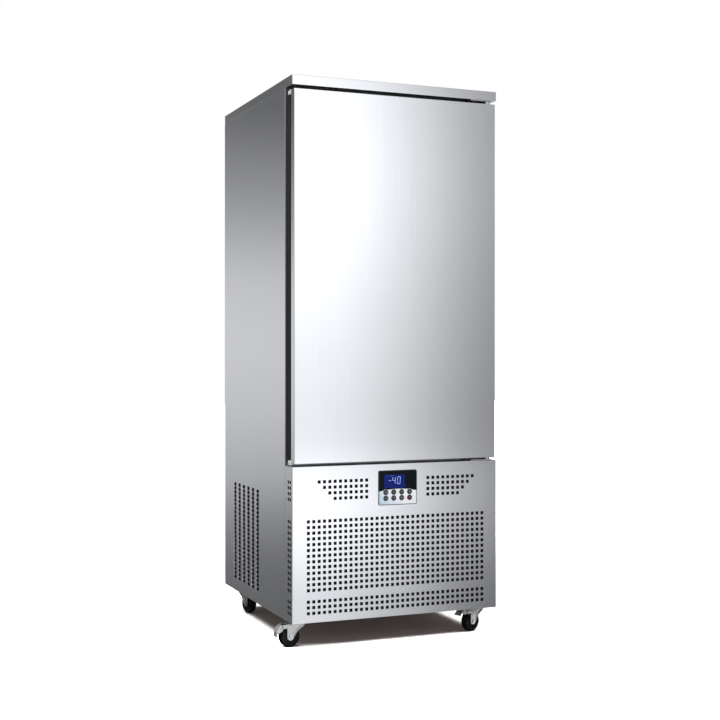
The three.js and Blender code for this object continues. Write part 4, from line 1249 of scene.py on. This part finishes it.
# Sections and outlines. Those of the wheel are the left halves, as shares of its radius and of half
# its width; the rest is in metres.
TYRE = [(0.78, -0.7), (0.80, -0.94), (0.90, -1), (0.955, -0.86), (0.99, -0.62), (1, -0.3)]
DISC = [(0.12, -1), (0.26, -1), (0.31, -0.9), (0.33, -0.5), (0.70, -0.42), (0.74, -0.8)]
DISC += [(0.80, -0.86)]
RACE = [(0.0062, -0.0138), (0.0150, -0.0138), (0.0180, -0.0105), (0.0226, -0.0086)]
RACE += [(0.0236, -0.0068), (0.0236, -0.0022), (0.0226, -0.0006), (0.0062, -0.0006)]
FORK_EDGE = [(FORK_BACK + 0.0015, FORK_TOP - 0.002), (FORK_BACK + 0.0015, FORK_TOP - 0.008)]
FORK_EDGE += [(0.0075, -0.030), (TRAIL - LEG_EYE + 0.0015, AXLE_Z + 0.001)]
AXLE_CAP = [(0, -0.0018), (0.0096, -0.0018), (0.0104, -0.0012), (0.0108, 0.0002), (0, 0.0002)]
WEB_HEIGHT = 0.0057
BRAKE_PIN = (0.0036, 0.0012)  # radius, and reach beyond the legs
PLATE_BOLT = (0.0095, 0.0034)  # across its flats, and height
PLATE_BOLT_SINK = 0.0025  # of a bolt's seat below the plate's top
AXLE_NUT = (0.0115, 0.0034)
PEDAL_HALF = 0.0135
PEDAL_ARM = [(0.0015, 0.0104), (0.0015, 0.0125), (0.0165, 0.0115), (0.0318, 0.0018)]
PEDAL_ARM += [(0.0308, -0.0002), (0.016, 0.0095)]
PEDAL_CHEEK = [(0.003, -0.0042), (0.002, 0.0112), (0.0162, 0.0104), (0.031, 0.0008)]
PEDAL_CHEEK += [(0.031, -0.0040), (0.020, -0.0085), (0.010, -0.0085)]


def caster_middle(corner):
    """From a castor's plate, its middle at the origin, to the cabinet's coordinates."""
    low, high = local_box(corner + "_caster_plate")
    return shift((low.x + high.x) / 2, (low.y + high.y) / 2, 0)


def wheel():
    """A tyre on a dished disc with a ring of ribs and a bearing cap."""
    r, half = WHEEL_RADIUS, WHEEL_WIDTH / 2
    tyre, disc = (turned(closed(mirrored(section, r, half)), 64, "Y") for section in (TYRE, DISC))
    parts = [painted(disc, 1), tyre]
    for angle in range(0, 360, 36):
        low, high = (0.30 * r, -0.72 * half, -0.0009), (0.74 * r, 0.72 * half, 0.0009)
        parts.append((painted(rounded_box(low, high, 0.0004, 1), 1), rotation(angle, "Y")))
    return gather(parts)


def fork_leg():
    """A fork's pressed leg in X and Z: upright on the wheel's side, slanting on the other."""
    points = [(FORK_BACK, FORK_TOP), (FORK_BACK, FORK_TOP - 0.007), (0.006, -0.030)]
    points += arc_points((TRAIL, AXLE_Z), LEG_EYE, 186, 360, 12)
    points += [(TRAIL + LEG_EYE, FORK_TOP)]
    return outlined(points, LEG_SHEET, 0.0007)


def fork(braked):
    """A fork: its race, web, legs with a turned edge and a raised eye, axle and pin."""
    inner = WHEEL_WIDTH / 2 + LEG_GAP
    outer = inner + LEG_SHEET
    web_low = (FORK_BACK, -outer, FORK_TOP - WEB_HEIGHT)
    web = rounded_box(web_low, (TRAIL + LEG_EYE, outer, FORK_TOP), 0.0012)
    parts = [turned(closed(RACE), 48), web]
    for side in (-1, 1):
        near, far = sorted((side * inner, side * outer))
        parts.append(moved(fork_leg(), y=near))
        route = [(x, side * (outer - 0.0002), z) for x, z in FORK_EDGE]
        parts.append(tube(route, 0.0026, 0.006, 3))
        route = [(x + 0.0085, side * (outer - 0.0004), z + 0.001) for x, z in FORK_EDGE[1:]]
        parts.append(tube(route, 0.0012, 0.004, 2))
        place = shift(TRAIL, side * (outer + 0.0006), AXLE_Z) @ rotation(-90 * side, "X")
        parts += [(turned(AXLE_CAP, 32), place), (hex_head(*AXLE_NUT), place)]
        if braked:
            strap_low = (TRAIL + LEG_EYE - 0.001, near, BRAKE_PIVOT[1] - 0.005)
            strap_high = (BRAKE_PIVOT[0] + 0.005, far, FORK_TOP - 0.002)
            parts.append(rounded_box(strap_low, strap_high, 0.0008))
    if braked:
        radius, reach = BRAKE_PIN[0], outer + BRAKE_PIN[1]
        pin = turned(mirrored([(0, -reach), (radius, -reach)]), 24, "Y")
        parts.append(moved(pin, BRAKE_PIVOT[0], 0, BRAKE_PIVOT[1]))
    return gather(parts)


def plate_bolts():
    """Four bolts that hold a castor's plate."""
    seat = local_box("front_left_caster_plate")[1].z - PLATE_BOLT_SINK
    places = [shift(x, y, seat) for x in (-0.0335, 0.0335) for y in (-0.0235, 0.0235)]
    return gather([(hex_head(*PLATE_BOLT), place @ rotation(180, "X")) for place in places])


def brake_pedal():
    """A pedal about its pin: a barrel, a ribbed arm and a wide pad bent down at its end."""
    half = PEDAL_HALF
    barrel = turned(closed(mirrored([(0.0027, -half), (0.005, -half)])), 32, "Y")
    parts = [barrel, moved(outlined(PEDAL_ARM, 2 * half, 0.0004, 1), y=-half)]
    slope = shift(0.0165, 0, 0.0112) @ rotation(ARM_SLOPE, "Y")
    for x in (0.0020, 0.0058, 0.0096, 0.0134):
        rib = rounded_box((x, -0.0105, -0.0002), (x + 0.0018, 0.0105, 0.0011), 0.0005, 1)
        parts.append((rib, slope))
    for side in (-1, 1):
        cheek = outlined(PEDAL_CHEEK, 0.0016, 0.0004, 1)
        parts.append(moved(cheek, y=side * (half - 0.0009) - 0.0008))
        for step in (0, 0.0065, 0.0130):
            x = 0.0085 + step
            rib_high = (x + 0.0026, 0.0008, 0.0070 - 0.5 * step)
            rib = rounded_box((x, -0.0008, -0.0060), rib_high, 0.0004, 1)
            parts.append(moved(rib, y=side * (half - 0.0001)))
    bend = shift(0.0305, 0, 0.0012) @ rotation(PAD_BEND, "Y")
    parts.append((rounded_box((0, -0.0165, -0.0013), (0.0175, 0.0165, 0.0013), 0.0007, 2), bend))
    for y in (-0.011, -0.0035, 0.004, 0.0115):
        rib = rounded_box((0.004, y - 0.0012, 0.0008), (0.015, y + 0.0007, 0.0021), 0.0005, 1)
        parts.append((rib, bend))
    return gather(parts)


class CHILLER_OT_castors(bpy.types.Operator):
    """Model the four swivel castors and the brakes of the front pair"""

    bl_idname = "chiller.castors"
    bl_label = "Castors"

    def execute(self, context):
        for corner, trail in TRAILS.items():
            middle = caster_middle(corner)
            swivel = middle @ rotation(trail, "Z")
            node = corner + "_caster_plate"
            plate = gather([softened(node, 0.0008), (plate_bolts(), PLACE @ middle)])
            hand_over(node + "_finished", plate, ["zinc"], node, place=IN_FRAME)
            axle = swivel @ shift(TRAIL, 0, AXLE_Z)
            pieces = [
                ("_caster_fork", fork(corner in BRAKE_ANGLES), ["zinc"], swivel),
                ("_caster_wheel", wheel(), ["rubber", "wheel_disc"], axle),
            ]
            if corner in BRAKE_ANGLES:
                pin = swivel @ shift(BRAKE_PIVOT[0], 0, BRAKE_PIVOT[1])
                turn = rotation(BRAKE_ANGLES[corner], "Y")
                pieces.append(("_brake_pedal", brake_pedal(), ["zinc"], pin @ turn))
            for ending, part, finishes, place in pieces:
                node = corner + ending
                hand_over(node + "_finished", part, finishes, node, place=PLACE @ place)
        return {"FINISHED"}


# ---------------------------------------------------------------- machine

CONDENSER_SHEET = 0.0012
SHROUD_RADIUS = 0.157
SHROUD_Y = 0.195
RECEIVER_RADIUS = 0.050
COMPRESSOR_RADIUS = 0.095
COMPRESSOR_ASIDE = 1.12  # of its middle from the right-hand end of its foot, in radii
COMPRESSOR_CAN = [  # shares of the radius, and metres above the floor
    (0, 0.020),
    (0.80, 0.020),
    (0.92, 0.027),
    (1, 0.042),
    (1, 0.180),
    (1.03, 0.182),
    (1.03, 0.187),
    (1, 0.189),
    (1, 0.300),
    (0.97, 0.322),
    (0.88, 0.338),
    (0.72, 0.346),
    (0.45, 0.3498),
    (0, 0.350),
]
PIPE_RADIUS = {"discharge_pipe": 0.006, "suction_pipe": 0.009}
PIPE_BEND = 0.028
PIPE_RISE = 0.075  # above the compressor
PIPE_ASIDE = 0.020  # from the compressor's middle
FIN_THICKNESS = 0.0004
CONDENSER_FAN = (0.150, 0.042, 0.030)  # radius, radius of the hub and depth


def node_middle(node):
    low, high = local_box(node)
    return (low + high) / 2


def coil(low, high, end_plates, tube_pitch, tube_radius):
    """Fins across X between two end plates, with rows of tubes and their bends."""
    pitch, half = sizes().fin_pitch, FIN_THICKNESS / 2
    parts = []
    fins = int((high.x - low.x - 2 * end_plates) / pitch)
    for x in spread(fins, (low.x + high.x) / 2, pitch):
        parts.append(box_part((x - half, low.y, low.z), (x + half, high.y, high.z)))
    rows = int((high.z - low.z) / tube_pitch)
    y = (low.y + high.y) / 2
    for index, z in enumerate(spread(rows, (low.z + high.z) / 2, tube_pitch)):
        for side in (-1, 1):
            ends = [(x, y + side * 0.012, z) for x in (low.x, high.x)]
            parts.append(painted(tube(ends, tube_radius, 0, 1), 1))
        above = z + tube_pitch
        if index % 2 or above >= high.z:
            continue
        for x, outer in ((low.x, low.x - 0.004), (high.x, high.x + 0.004)):
            bend = [(x, y, z), (outer, y, z), (outer, y, above), (x, y, above)]
            parts.append(painted(tube(bend, 0.7 * tube_radius, 0.003, 1), 1))
    return gather(parts)


def condenser():
    """The condenser: dark fins in a sheet frame with the fan's shroud behind them."""
    low, high = local_box("condenser")
    sheet, rim, rear = CONDENSER_SHEET, SHROUD_RADIUS, SHROUD_Y
    bottom, top = low.z + 0.022, high.z - 0.005
    middle = (bottom + top) / 2
    fins_low = Vector((-0.266, 0.098, low.z + 0.024))
    fins = coil(fins_low, Vector((0.266, 0.162, high.z - 0.008)), 0.002, 0.0254, 0.0045)
    shell = []
    for side in (-1, 1):
        x = side * 0.270
        shell.append(rounded_box((x - sheet, 0.090, low.z), (x + sheet, 0.165, high.z), 0.0004))
        x = side * 0.2694
        shell.append(box_part((x - sheet / 2, 0.165, bottom), (x + sheet / 2, rear, top)))
    for z in (bottom, top - sheet):
        shell.append(rounded_box((-0.2685, 0.092, z), (0.2685, rear, z + sheet), 0.0004))
    disc = bmesh.new()
    bmesh.ops.create_grid(disc, x_segments=1, y_segments=1, size=1)
    bmesh.ops.scale(disc, vec=(0.27, 0.185, 1), verts=disc.verts)
    bmesh.ops.subdivide_edges(disc, edges=disc.edges, cuts=11, use_grid_fill=True)
    open_faces(disc, lambda centre: centre.length < rim * 1.02)
    for v in disc.verts:
        on_edge = any(e.is_boundary for e in v.link_edges)
        if on_edge and v.co.length < 1.35 * rim and abs(v.co.y) < 0.183:
            v.co = v.co.normalized() * rim
    thickened(disc, sheet)
    shell.append((disc, shift(0, rear - 0.0005, middle) @ rotation(90, "X")))
    collar = [(rim, 0), (rim + sheet, 0), (rim + sheet, 0.018), (rim, 0.018)]
    shell.append((turned(closed(collar), 64, "Y"), shift(0, rear, middle)))
    return gather([fins, painted(gather(shell), 1)])


def compressor():
    """A welded can with its seam, its terminal box and rubber feet."""
    low, high = local_box("compressor")
    r = COMPRESSOR_RADIUS
    can = turned([(share * r, z) for share, z in COMPRESSOR_CAN], 72)
    foot_plate = rounded_box((-1.12 * r, -0.85 * r, 0.016), (1.12 * r, 0.85 * r, 0.0195), 0.0015)
    terminals = rounded_box((-1.35 * r, -0.35 * r, 0.140), (-0.9 * r, 0.35 * r, 0.252), 0.006, 3)
    parts = [can, foot_plate, painted(terminals, 1)]
    for x in (-r, r):
        for y in (-0.7 * r, 0.7 * r):
            foot = [(0, 0.0003), (0.011, 0.0003), (0.0085, 0.008), (0.011, 0.016), (0, 0.016)]
            parts.append(painted(moved(turned(foot, 24), x, y), 1))
            parts.append(moved(hex_head(0.012, 0.005), x, y, 0.0195))
    place = (high.x - COMPRESSOR_ASIDE * r, (low.y + high.y) / 2, low.z - FIT)
    return moved(gather(parts), *place)


def receiver():
    """An upright tank with rounded ends and a weld about its middle."""
    low, high = local_box("liquid_receiver")
    middle, r, top = (low + high) / 2, RECEIVER_RADIUS, high.z - low.z
    seam = top / 2
    profile = [(0, 0.0), (0.7 * r, 0.0), (0.92 * r, 0.008), (r, 0.024), (r, seam - 0.004)]
    profile += [(1.015 * r, seam - 0.002), (1.015 * r, seam + 0.002), (r, seam + 0.004)]
    profile += [(r, top - 0.030), (0.92 * r, top - 0.013), (0.6 * r, top - 0.004), (0, top)]
    return moved(turned(profile, 48), middle.x, middle.y, low.z)


def pipe_route(node):
    """The corners of a machine pipe, from the compressor's top on."""
    low, high = local_box(node)
    radius = PIPE_RADIUS[node]
    can_high = local_box("compressor")[1]
    level = can_high.z + PIPE_RISE
    x = can_high.x - COMPRESSOR_ASIDE * COMPRESSOR_RADIUS
    y = node_middle("compressor").y
    if node == "discharge_pipe":
        x, y = x - PIPE_ASIDE, y - PIPE_ASIDE
        end, end_z = (high.x - radius, low.y + radius), low.z
        corners = [(end[0], y, level)]
    else:
        x, y = x + PIPE_ASIDE, y + PIPE_ASIDE
        end, end_z = (high.x - radius, high.y - radius), high.z
        corners = []
    return [(x, y, can_high.z + FIT), (x, y, level), *corners, (*end, level), (*end, end_z)]


def fan(node, radius, hub, depth):
    """A hub and five twisted blades about the Y axis."""
    half = depth / 2
    profile = [(0, half), (0.72 * hub, half), (0.94 * hub, 0.8 * half), (hub, 0.4 * half)]
    parts = [turned([*profile, (hub, -half), (0, -half)], 40, "Y")]
    root, tip = 0.84 * hub, 0.955 * radius
    for turn in range(0, 360, 72):
        blade = bmesh.new()
        bmesh.ops.create_grid(blade, x_segments=10, y_segments=8, size=1)
        for v in blade.verts:
            share, across = (v.co.x + 1) / 2, v.co.y
            reach = root + (tip - root) * share
            along = math.radians(19 + 9 * share) * across
            angle = along - math.radians(10 * share * share)
            lift = reach * along * math.tan(math.radians(34 - 14 * share)) * 0.55
            lift = max(-half + 0.0015, min(half - 0.0015, lift))
            camber = 0.002 * (1 - across * across)
            v.co = (reach * math.cos(angle), lift + camber, reach * math.sin(angle))
        blade.normal_update()
        parts.append((thickened(blade, 0.0016), rotation(turn, "Y")))
    return moved(gather(parts), *node_middle(node))


class CHILLER_OT_machine(bpy.types.Operator):
    """Model the compressor, condenser, receiver, pipes and fan of the machine compartment"""

    bl_idname = "chiller.machine"
    bl_label = "Machine"

    def execute(self, context):
        hand_over("condenser_coil", condenser(), ["dark_fins", "enamel"], "condenser")
        hand_over("compressor_can", compressor(), ["enamel", "black_plastic"], "compressor")
        hand_over("receiver_can", receiver(), ["enamel"], "liquid_receiver")
        for node, radius in PIPE_RADIUS.items():
            pipe = tube(pipe_route(node), radius, PIPE_BEND, 4)
            hand_over(node + "_finished", pipe, ["copper"], node)
        node = "condenser_fan"
        hand_over(node + "_wheel", fan(node, *CONDENSER_FAN), ["blades"], node)
        hand_over_softened("condenser_fan_motor", "enamel", 0.0015)
        hand_over_softened("power_inlet", "black_plastic", 0.0008)
        return {"FINISHED"}


# ---------------------------------------------------------------- chamber

CHAMBER_FAN = (0.122, 0.036, 0.030)  # radius, radius of the hub and depth
GUARD_RINGS = [0.028 + index * 0.0155 for index in range(8)]
GUARD_DEPTH = 0.024
GUARD_SCREW = (0.004, 0.002)  # radius and height
RACK_SCREW = (0.0045, 0.002)
RACK_SHEET = 0.0019
EVAPORATOR_END = 0.0024
EVAPORATOR_FINS = (0.075, 0.017)  # ahead of the rear: where they start and end


def fan_guard(middle):
    """Wire rings in front of a chamber fan, on stays that stand on the cover."""
    thick = sizes().wire
    wire, seat, outer = thick / 2, COVER_FRONT, GUARD_RINGS[-1]
    front = seat - GUARD_DEPTH
    parts = []
    for radius in GUARD_RINGS:
        ring = turned([*arc_points((radius, 0), wire, 90, 450, 6)], 56, "Y")
        parts.append(moved(ring, y=front))
    for angle in range(0, 360, 60):
        stay = [(0.02, front + thick, 0), (outer, front + thick, 0)]
        stay += [(outer + 0.006, seat - wire, 0), (outer + 0.014, seat - wire, 0)]
        parts.append((tube(stay, wire, 0.004, 1), rotation(angle, "Y")))
        foot = moved(screw(*GUARD_SCREW), outer + 0.011, seat - thick, 0)
        parts.append((foot, rotation(angle, "Y")))
    return moved(gather(parts), middle.x, 0, middle.z)


def tray_rack(node, side):
    """An upright sheet with its folded ledges and the screws that hold it."""
    low, high = local_box(node)
    middle = (low + high) / 2
    x = side * (CHAMBER_HALF_WIDTH - RACK_SHEET)
    rows = (low.z + 0.03, middle.z + 0.02, high.z - 0.02)
    places = [(x, y, z) for y in (low.y + 0.05, middle.y, high.y - 0.05) for z in rows]
    heads = gather(screws_at(places, rotation(-90 * side, "Z"), *RACK_SCREW))
    return gather([softened(node, 0.0004), (heads, PLACE)])


class CHILLER_OT_chamber(bpy.types.Operator):
    """Model the evaporator, its cover and fans, and the tray racks"""

    bl_idname = "chiller.chamber"
    bl_label = "Chamber"

    def execute(self, context):
        low, high = local_box("evaporator")
        fins_low = Vector((low.x + 0.003, high.y - EVAPORATOR_FINS[0], low.z + 0.006))
        fins_high = Vector((high.x - 0.003, high.y - EVAPORATOR_FINS[1], high.z - 0.006))
        parts = [coil(fins_low, fins_high, 0.002, 0.032, 0.005)]
        for x in (low.x, high.x - EVAPORATOR_END):
            end_high = (x + EVAPORATOR_END, high.y, high.z)
            parts.append(rounded_box((x, low.y, low.z), end_high, 0.0005))
        hand_over("evaporator_coil", gather(parts), ["fins", "copper"], "evaporator")
        hand_over_softened("evaporator_cover", "chamber_steel", 0.0005)
        for side, place in ((-1, "left"), (1, "right")):
            node = "tray_rack_" + place
            rack = tray_rack(node, side)
            hand_over(node + "_finished", rack, ["chamber_steel"], node, place=IN_FRAME)
        for place in ("lower", "upper"):
            node = "chamber_fan_" + place
            hand_over(node + "_wheel", fan(node, *CHAMBER_FAN), ["blades"], node)
            guard = fan_guard(node_middle(node))
            hand_over(node + "_guard", guard, ["zinc"], "evaporator_cover", replaces=False)
            hand_over_softened("chamber_fan_motor_" + place, "enamel", 0.0015)
        return {"FINISHED"}


# ---------------------------------------------------------------- stage

VIEW_TURN = 22.17  # of the camera, in degrees from straight ahead towards the right
CAMERA_PLACE = (-1.8275, -4.5458, 1.0322)
CAMERA_LENS = 62.85
CAMERA_SHIFT_Y = -0.0089
FLOOR_SIZE = 40
FLOOR_COLOUR = (0.8, 0.78, 0.77, 1)
FLOOR_COLOUR_MIRRORED = (1.4, 1.38, 1.36, 1)  # white in metal and glass
FLOOR_COLOUR_SEEN = (5.0, 4.8, 4.7, 1)  # over 1, so that only its shadow stays below white
FLOOR_PAINTED_SHADOW = (0.5, 0.415, 0.39, 1)  # painted shadow: the floor's colour where little of the sky is open to it
FLOOR_WHITE_FROM = (0.8, 2.6)  # metres from the middle, where it fades to plain white
FLOOR_SKY_REACH = 0.3  # metres within which something can hide the sky from the floor
FLOOR_SKY_SHARE = (0.28, 0.36)  # open share of the sky, where the painted shadow is full and where it ends
WORLD_STRENGTH = 0.5
LAMP_PLACE = (-1.6, -1.7, 5.0)
LAMP_SIZE = 1.6
LAMP_POWER = 190
SWEEP_HALF_WIDTH = 20
SWEEP_HEIGHT = 7
SWEEP_LIFT = 0.002

# Brightness of the sweeps, as (place, brightness). Across the front one a place is a slope, metres
# to the side for each metre from FAN_CENTRE; elsewhere it is metres, from the floor up the wall.
FAN_CENTRE = (-1.83, 3.70)
FRONT_WALL_Y = -4.4
FRONT_NEAR_Y = -0.5
FRONT_ACROSS = [
    (-1.2, 0.5),
    (0.05, 0.6),
    (0.2, 0.75),
    (0.353, 1.41),
    (0.3745, 1.35),
    (0.3964, 1.25),
    (0.4187, 1.05),
    (0.4413, 0.9),
    (0.4642, 0.76),
    (0.4876, 0.54),
    (0.5113, 0.41),
    (0.5355, 0.29),
    (0.6, 0.23),
    (0.69, 0.19),
    (0.92, 0.35),
    (1.48, 0.68),
]
FRONT_UPWARDS = [
    (0.5, 0.74),
    (1.03, 0.74),
    (1.25, 0.73),
    (2.0, 0.96),
    (3.0, 1.19),
    (3.88, 1.25),
    (4.2, 1.45),
    (4.58, 1.66),
    (4.74, 0.7),
    (5.03, 0.97),
    (5.6, 1.14),
    (6.16, 1.37),
    (6.73, 1.52),
    (7.19, 1.34),
    (8.2, 1.34),
    (9.4, 1.27),
]
BACK_WALL_Y = 5.0
BACK_NEAR_Y = -0.42
BACK_UPWARDS = [
    (-0.42, 0.14),
    (1.4, 0.2),
    (3.4, 0.36),
    (5.0, 0.52),
    (5.6, 0.72),
    (6.1, 0.8),
    (6.6, 0.74),
    (7.2, 0.42),
    (8.0, 0.15),
    (11.0, 0.3),
]


def camera_seen(tree):
    """A factor that is 1 for what the camera, a mirror or glass sees directly."""
    rays = new_node(tree, "LightPath").outputs
    either = calculated(tree, "MAXIMUM", rays["Is Camera Ray"], rays["Is Glossy Ray"])
    return calculated(tree, "MAXIMUM", either, rays["Is Transmission Ray"])


def make_world():
    """A white surrounding that lights the object less than the camera sees it."""
    world = bpy.data.worlds.new("studio")
    world.use_nodes = True
    tree = world.node_tree
    strength = ranged(tree, camera_seen(tree), 0, 1, WORLD_STRENGTH, 1)
    feed_all(tree, tree.nodes["Background"], Color=(1, 1, 1, 1), Strength=strength)
    bpy.context.scene.world = world


def bare_material(name):
    """A material with nothing but its output; returns it, its tree and the output's surface."""
    material = bpy.data.materials.new(name)
    material.use_nodes = True
    tree = material.node_tree
    tree.nodes.remove(tree.nodes["Principled BSDF"])
    return material, tree, tree.nodes["Material Output"].inputs["Surface"]


def stage_object(name, part, material):
    mesh = bpy.data.meshes.new(name)
    part.to_mesh(mesh)
    part.free()
    mesh.materials.append(material)
    made = bpy.data.objects.new(name, mesh)
    bpy.context.scene.collection.objects.link(made)
    return made


def make_floor():
    """A pale floor that keeps the object's shadow, deepened by a painted shadow where something
    close hides the sky, and is otherwise as white as the background.
    """
    part = bmesh.new()
    bmesh.ops.create_grid(part, x_segments=8, y_segments=8, size=FLOOR_SIZE / 2)
    material, tree, surface = bare_material("floor")
    seen = camera_seen(tree)
    camera_ray = new_node(tree, "LightPath").outputs["Is Camera Ray"]
    shade = mixed(tree, seen, FLOOR_COLOUR, FLOOR_COLOUR_MIRRORED)
    direct = mixed(tree, camera_ray, shade, FLOOR_COLOUR_SEEN)
    # Painted shadow: an occlusion mask turns the floor's colour dark brown under the cabinet.
    sky = new_node(tree, "AmbientOcclusion", samples=64)
    feed_all(tree, sky, Distance=FLOOR_SKY_REACH)
    is_open = ranged(tree, sky.outputs["AO"], *FLOOR_SKY_SHARE, 0, 1)
    cover = new_node(tree, "BsdfDiffuse")
    feed_all(tree, cover, Color=mixed(tree, is_open, FLOOR_PAINTED_SHADOW, direct))
    reach = vector_length(tree, new_node(tree, "TexCoord").outputs["Object"])
    far = ranged(tree, reach, *FLOOR_WHITE_FROM, 0, 1)
    glow = new_node(tree, "Emission")
    feed_all(tree, glow, Strength=product(tree, seen, far))
    both = new_node(tree, "AddShader")
    feed(tree, both.inputs[0], cover.outputs[0])
    feed(tree, both.inputs[1], glow.outputs[0])
    feed(tree, surface, both.outputs[0])
    stage_object("floor", part, material)


def dotted(tree, direction, start=0.0):
    """How far a point lies along a direction, less the start."""
    along = new_node(tree, "VectorMath", operation="DOT_PRODUCT")
    feed(tree, along.inputs[0], new_node(tree, "TexCoord").outputs["Object"])
    feed(tree, along.inputs[1], direction)
    return calculated(tree, "SUBTRACT", along.outputs["Value"], start)


def graded(tree, along, stops):
    """A brightness that follows a place, by its (place, brightness) stops."""
    first, last = stops[0][0], stops[-1][0]
    ramp = new_node(tree, "ValToRGB")
    feed(tree, ramp.inputs[0], ranged(tree, along, first, last, 0, 1))
    elements = ramp.color_ramp.elements
    for _ in range(len(stops) - 2):
        elements.new(0.5)
    for element, (place, brightness) in zip(elements, stops):
        element.position = (place - first) / (last - first)
        element.color = (brightness, brightness, brightness, 1)
    return ramp.outputs[0]


def fan_slope(tree):
    """How far to the side a point lies, for each metre in front of the fan's centre."""
    aside = dotted(tree, (1, 0, 0), FAN_CENTRE[0])
    return calculated(tree, "DIVIDE", aside, dotted(tree, (0, -1, 0), -FAN_CENTRE[1]))


def make_sweep(name, near_y, wall_y):
    """A sheet that lies towards a wall and runs up it, seen in reflections only."""
    part = bmesh.new()
    bmesh.ops.create_grid(part, x_segments=1, y_segments=2, size=1)
    profile = {-1: (near_y, SWEEP_LIFT), 0: (wall_y, SWEEP_LIFT), 1: (wall_y, SWEEP_HEIGHT)}
    for v in part.verts:
        v.co = (v.co.x * SWEEP_HALF_WIDTH, *profile[round(v.co.y)])
    material, tree, surface = bare_material(name)
    if wall_y < 0:
        upwards = graded(tree, dotted(tree, (0, -1, 1)), FRONT_UPWARDS)
        strength = product(tree, graded(tree, fan_slope(tree), FRONT_ACROSS), upwards)
    else:
        strength = graded(tree, dotted(tree, (0, 1, 1)), BACK_UPWARDS)
    glow = new_node(tree, "Emission")
    feed_all(tree, glow, Strength=strength)
    feed(tree, surface, glow.outputs[0])
    sweep = stage_object(name, part, material)
    for rays in ("camera", "diffuse", "shadow", "transmission"):
        setattr(sweep, "visible_" + rays, False)


def make_lamp():
    """A large square lamp above the object's front, turned to its foot."""
    data = bpy.data.lights.new("overhead", "AREA")
    data.shape, data.size, data.energy = "SQUARE", LAMP_SIZE, LAMP_POWER
    lamp = bpy.data.objects.new("overhead", data)
    aim = -Vector(LAMP_PLACE)
    turn = aim.to_track_quat("-Z", "Y").to_matrix().to_4x4()
    lamp.matrix_world = shift(*LAMP_PLACE) @ turn
    lamp.visible_camera = False
    bpy.context.scene.collection.objects.link(lamp)


class CHILLER_OT_stage(bpy.types.Operator):
    """Set up the camera, the floor and a plain soft studio light"""

    bl_idname = "chiller.stage"
    bl_label = "Stage"

    def execute(self, context):
        scene = context.scene
        data = bpy.data.cameras.new("camera")
        data.lens = CAMERA_LENS
        data.shift_y = CAMERA_SHIFT_Y
        camera = bpy.data.objects.new("camera", data)
        camera.location = CAMERA_PLACE
        camera.rotation_euler = (math.radians(90), 0, math.radians(-VIEW_TURN))
        scene.collection.objects.link(camera)
        scene.camera = camera
        scene.view_settings.view_transform = "Standard"
        make_world()
        make_floor()
        make_sweep("front_sweep", FRONT_NEAR_Y, FRONT_WALL_Y)
        make_sweep("back_sweep", BACK_NEAR_Y, BACK_WALL_Y)
        make_lamp()
        return {"FINISHED"}


# ---------------------------------------------------------------- the add-on


class CHILLER_OT_finishes(bpy.types.Operator):
    """Make the effects and the finishes that every piece takes its material from"""

    bl_idname = "chiller.finishes"
    bl_label = "Finishes"

    def execute(self, context):
        make_brushing()
        make_smudges()
        make_speckle()
        make_spangle()
        make_scuffs()
        make_finishes()
        return {"FINISHED"}


STEPS = (
    CHILLER_OT_finishes,
    CHILLER_OT_cabinet,
    CHILLER_OT_front_panel,
    CHILLER_OT_door,
    CHILLER_OT_controls,
    CHILLER_OT_castors,
    CHILLER_OT_machine,
    CHILLER_OT_chamber,
    CHILLER_OT_stage,
)


class CHILLER_PT_steps(bpy.types.Panel):
    """The steps that build the chiller, in their order"""

    bl_label = "Chiller"
    bl_idname = "CHILLER_PT_steps"
    bl_space_type = "VIEW_3D"
    bl_region_type = "UI"
    bl_category = "Chiller"

    def draw(self, context):
        for step in STEPS:
            self.layout.operator(step.bl_idname)


CLASSES = (ChillerSizes, ChillerColours, *STEPS, CHILLER_PT_steps)


def register():
    for cls in CLASSES:
        bpy.utils.register_class(cls)
    bpy.types.Scene.chiller_sizes = PointerProperty(type=ChillerSizes)
    bpy.types.Scene.chiller_colours = PointerProperty(type=ChillerColours)


def unregister():
    del bpy.types.Scene.chiller_colours
    del bpy.types.Scene.chiller_sizes
    for cls in reversed(CLASSES):
        bpy.utils.unregister_class(cls)


def main():
    register()
    bpy.ops.chiller.finishes()
    bpy.ops.chiller.cabinet()
    bpy.ops.chiller.front_panel()
    bpy.ops.chiller.door()
    bpy.ops.chiller.controls()
    bpy.ops.chiller.castors()
    bpy.ops.chiller.machine()
    bpy.ops.chiller.chamber()
    bpy.ops.chiller.stage()
    bpy.context.view_layer.update()


if __name__ == "__main__":
    main()
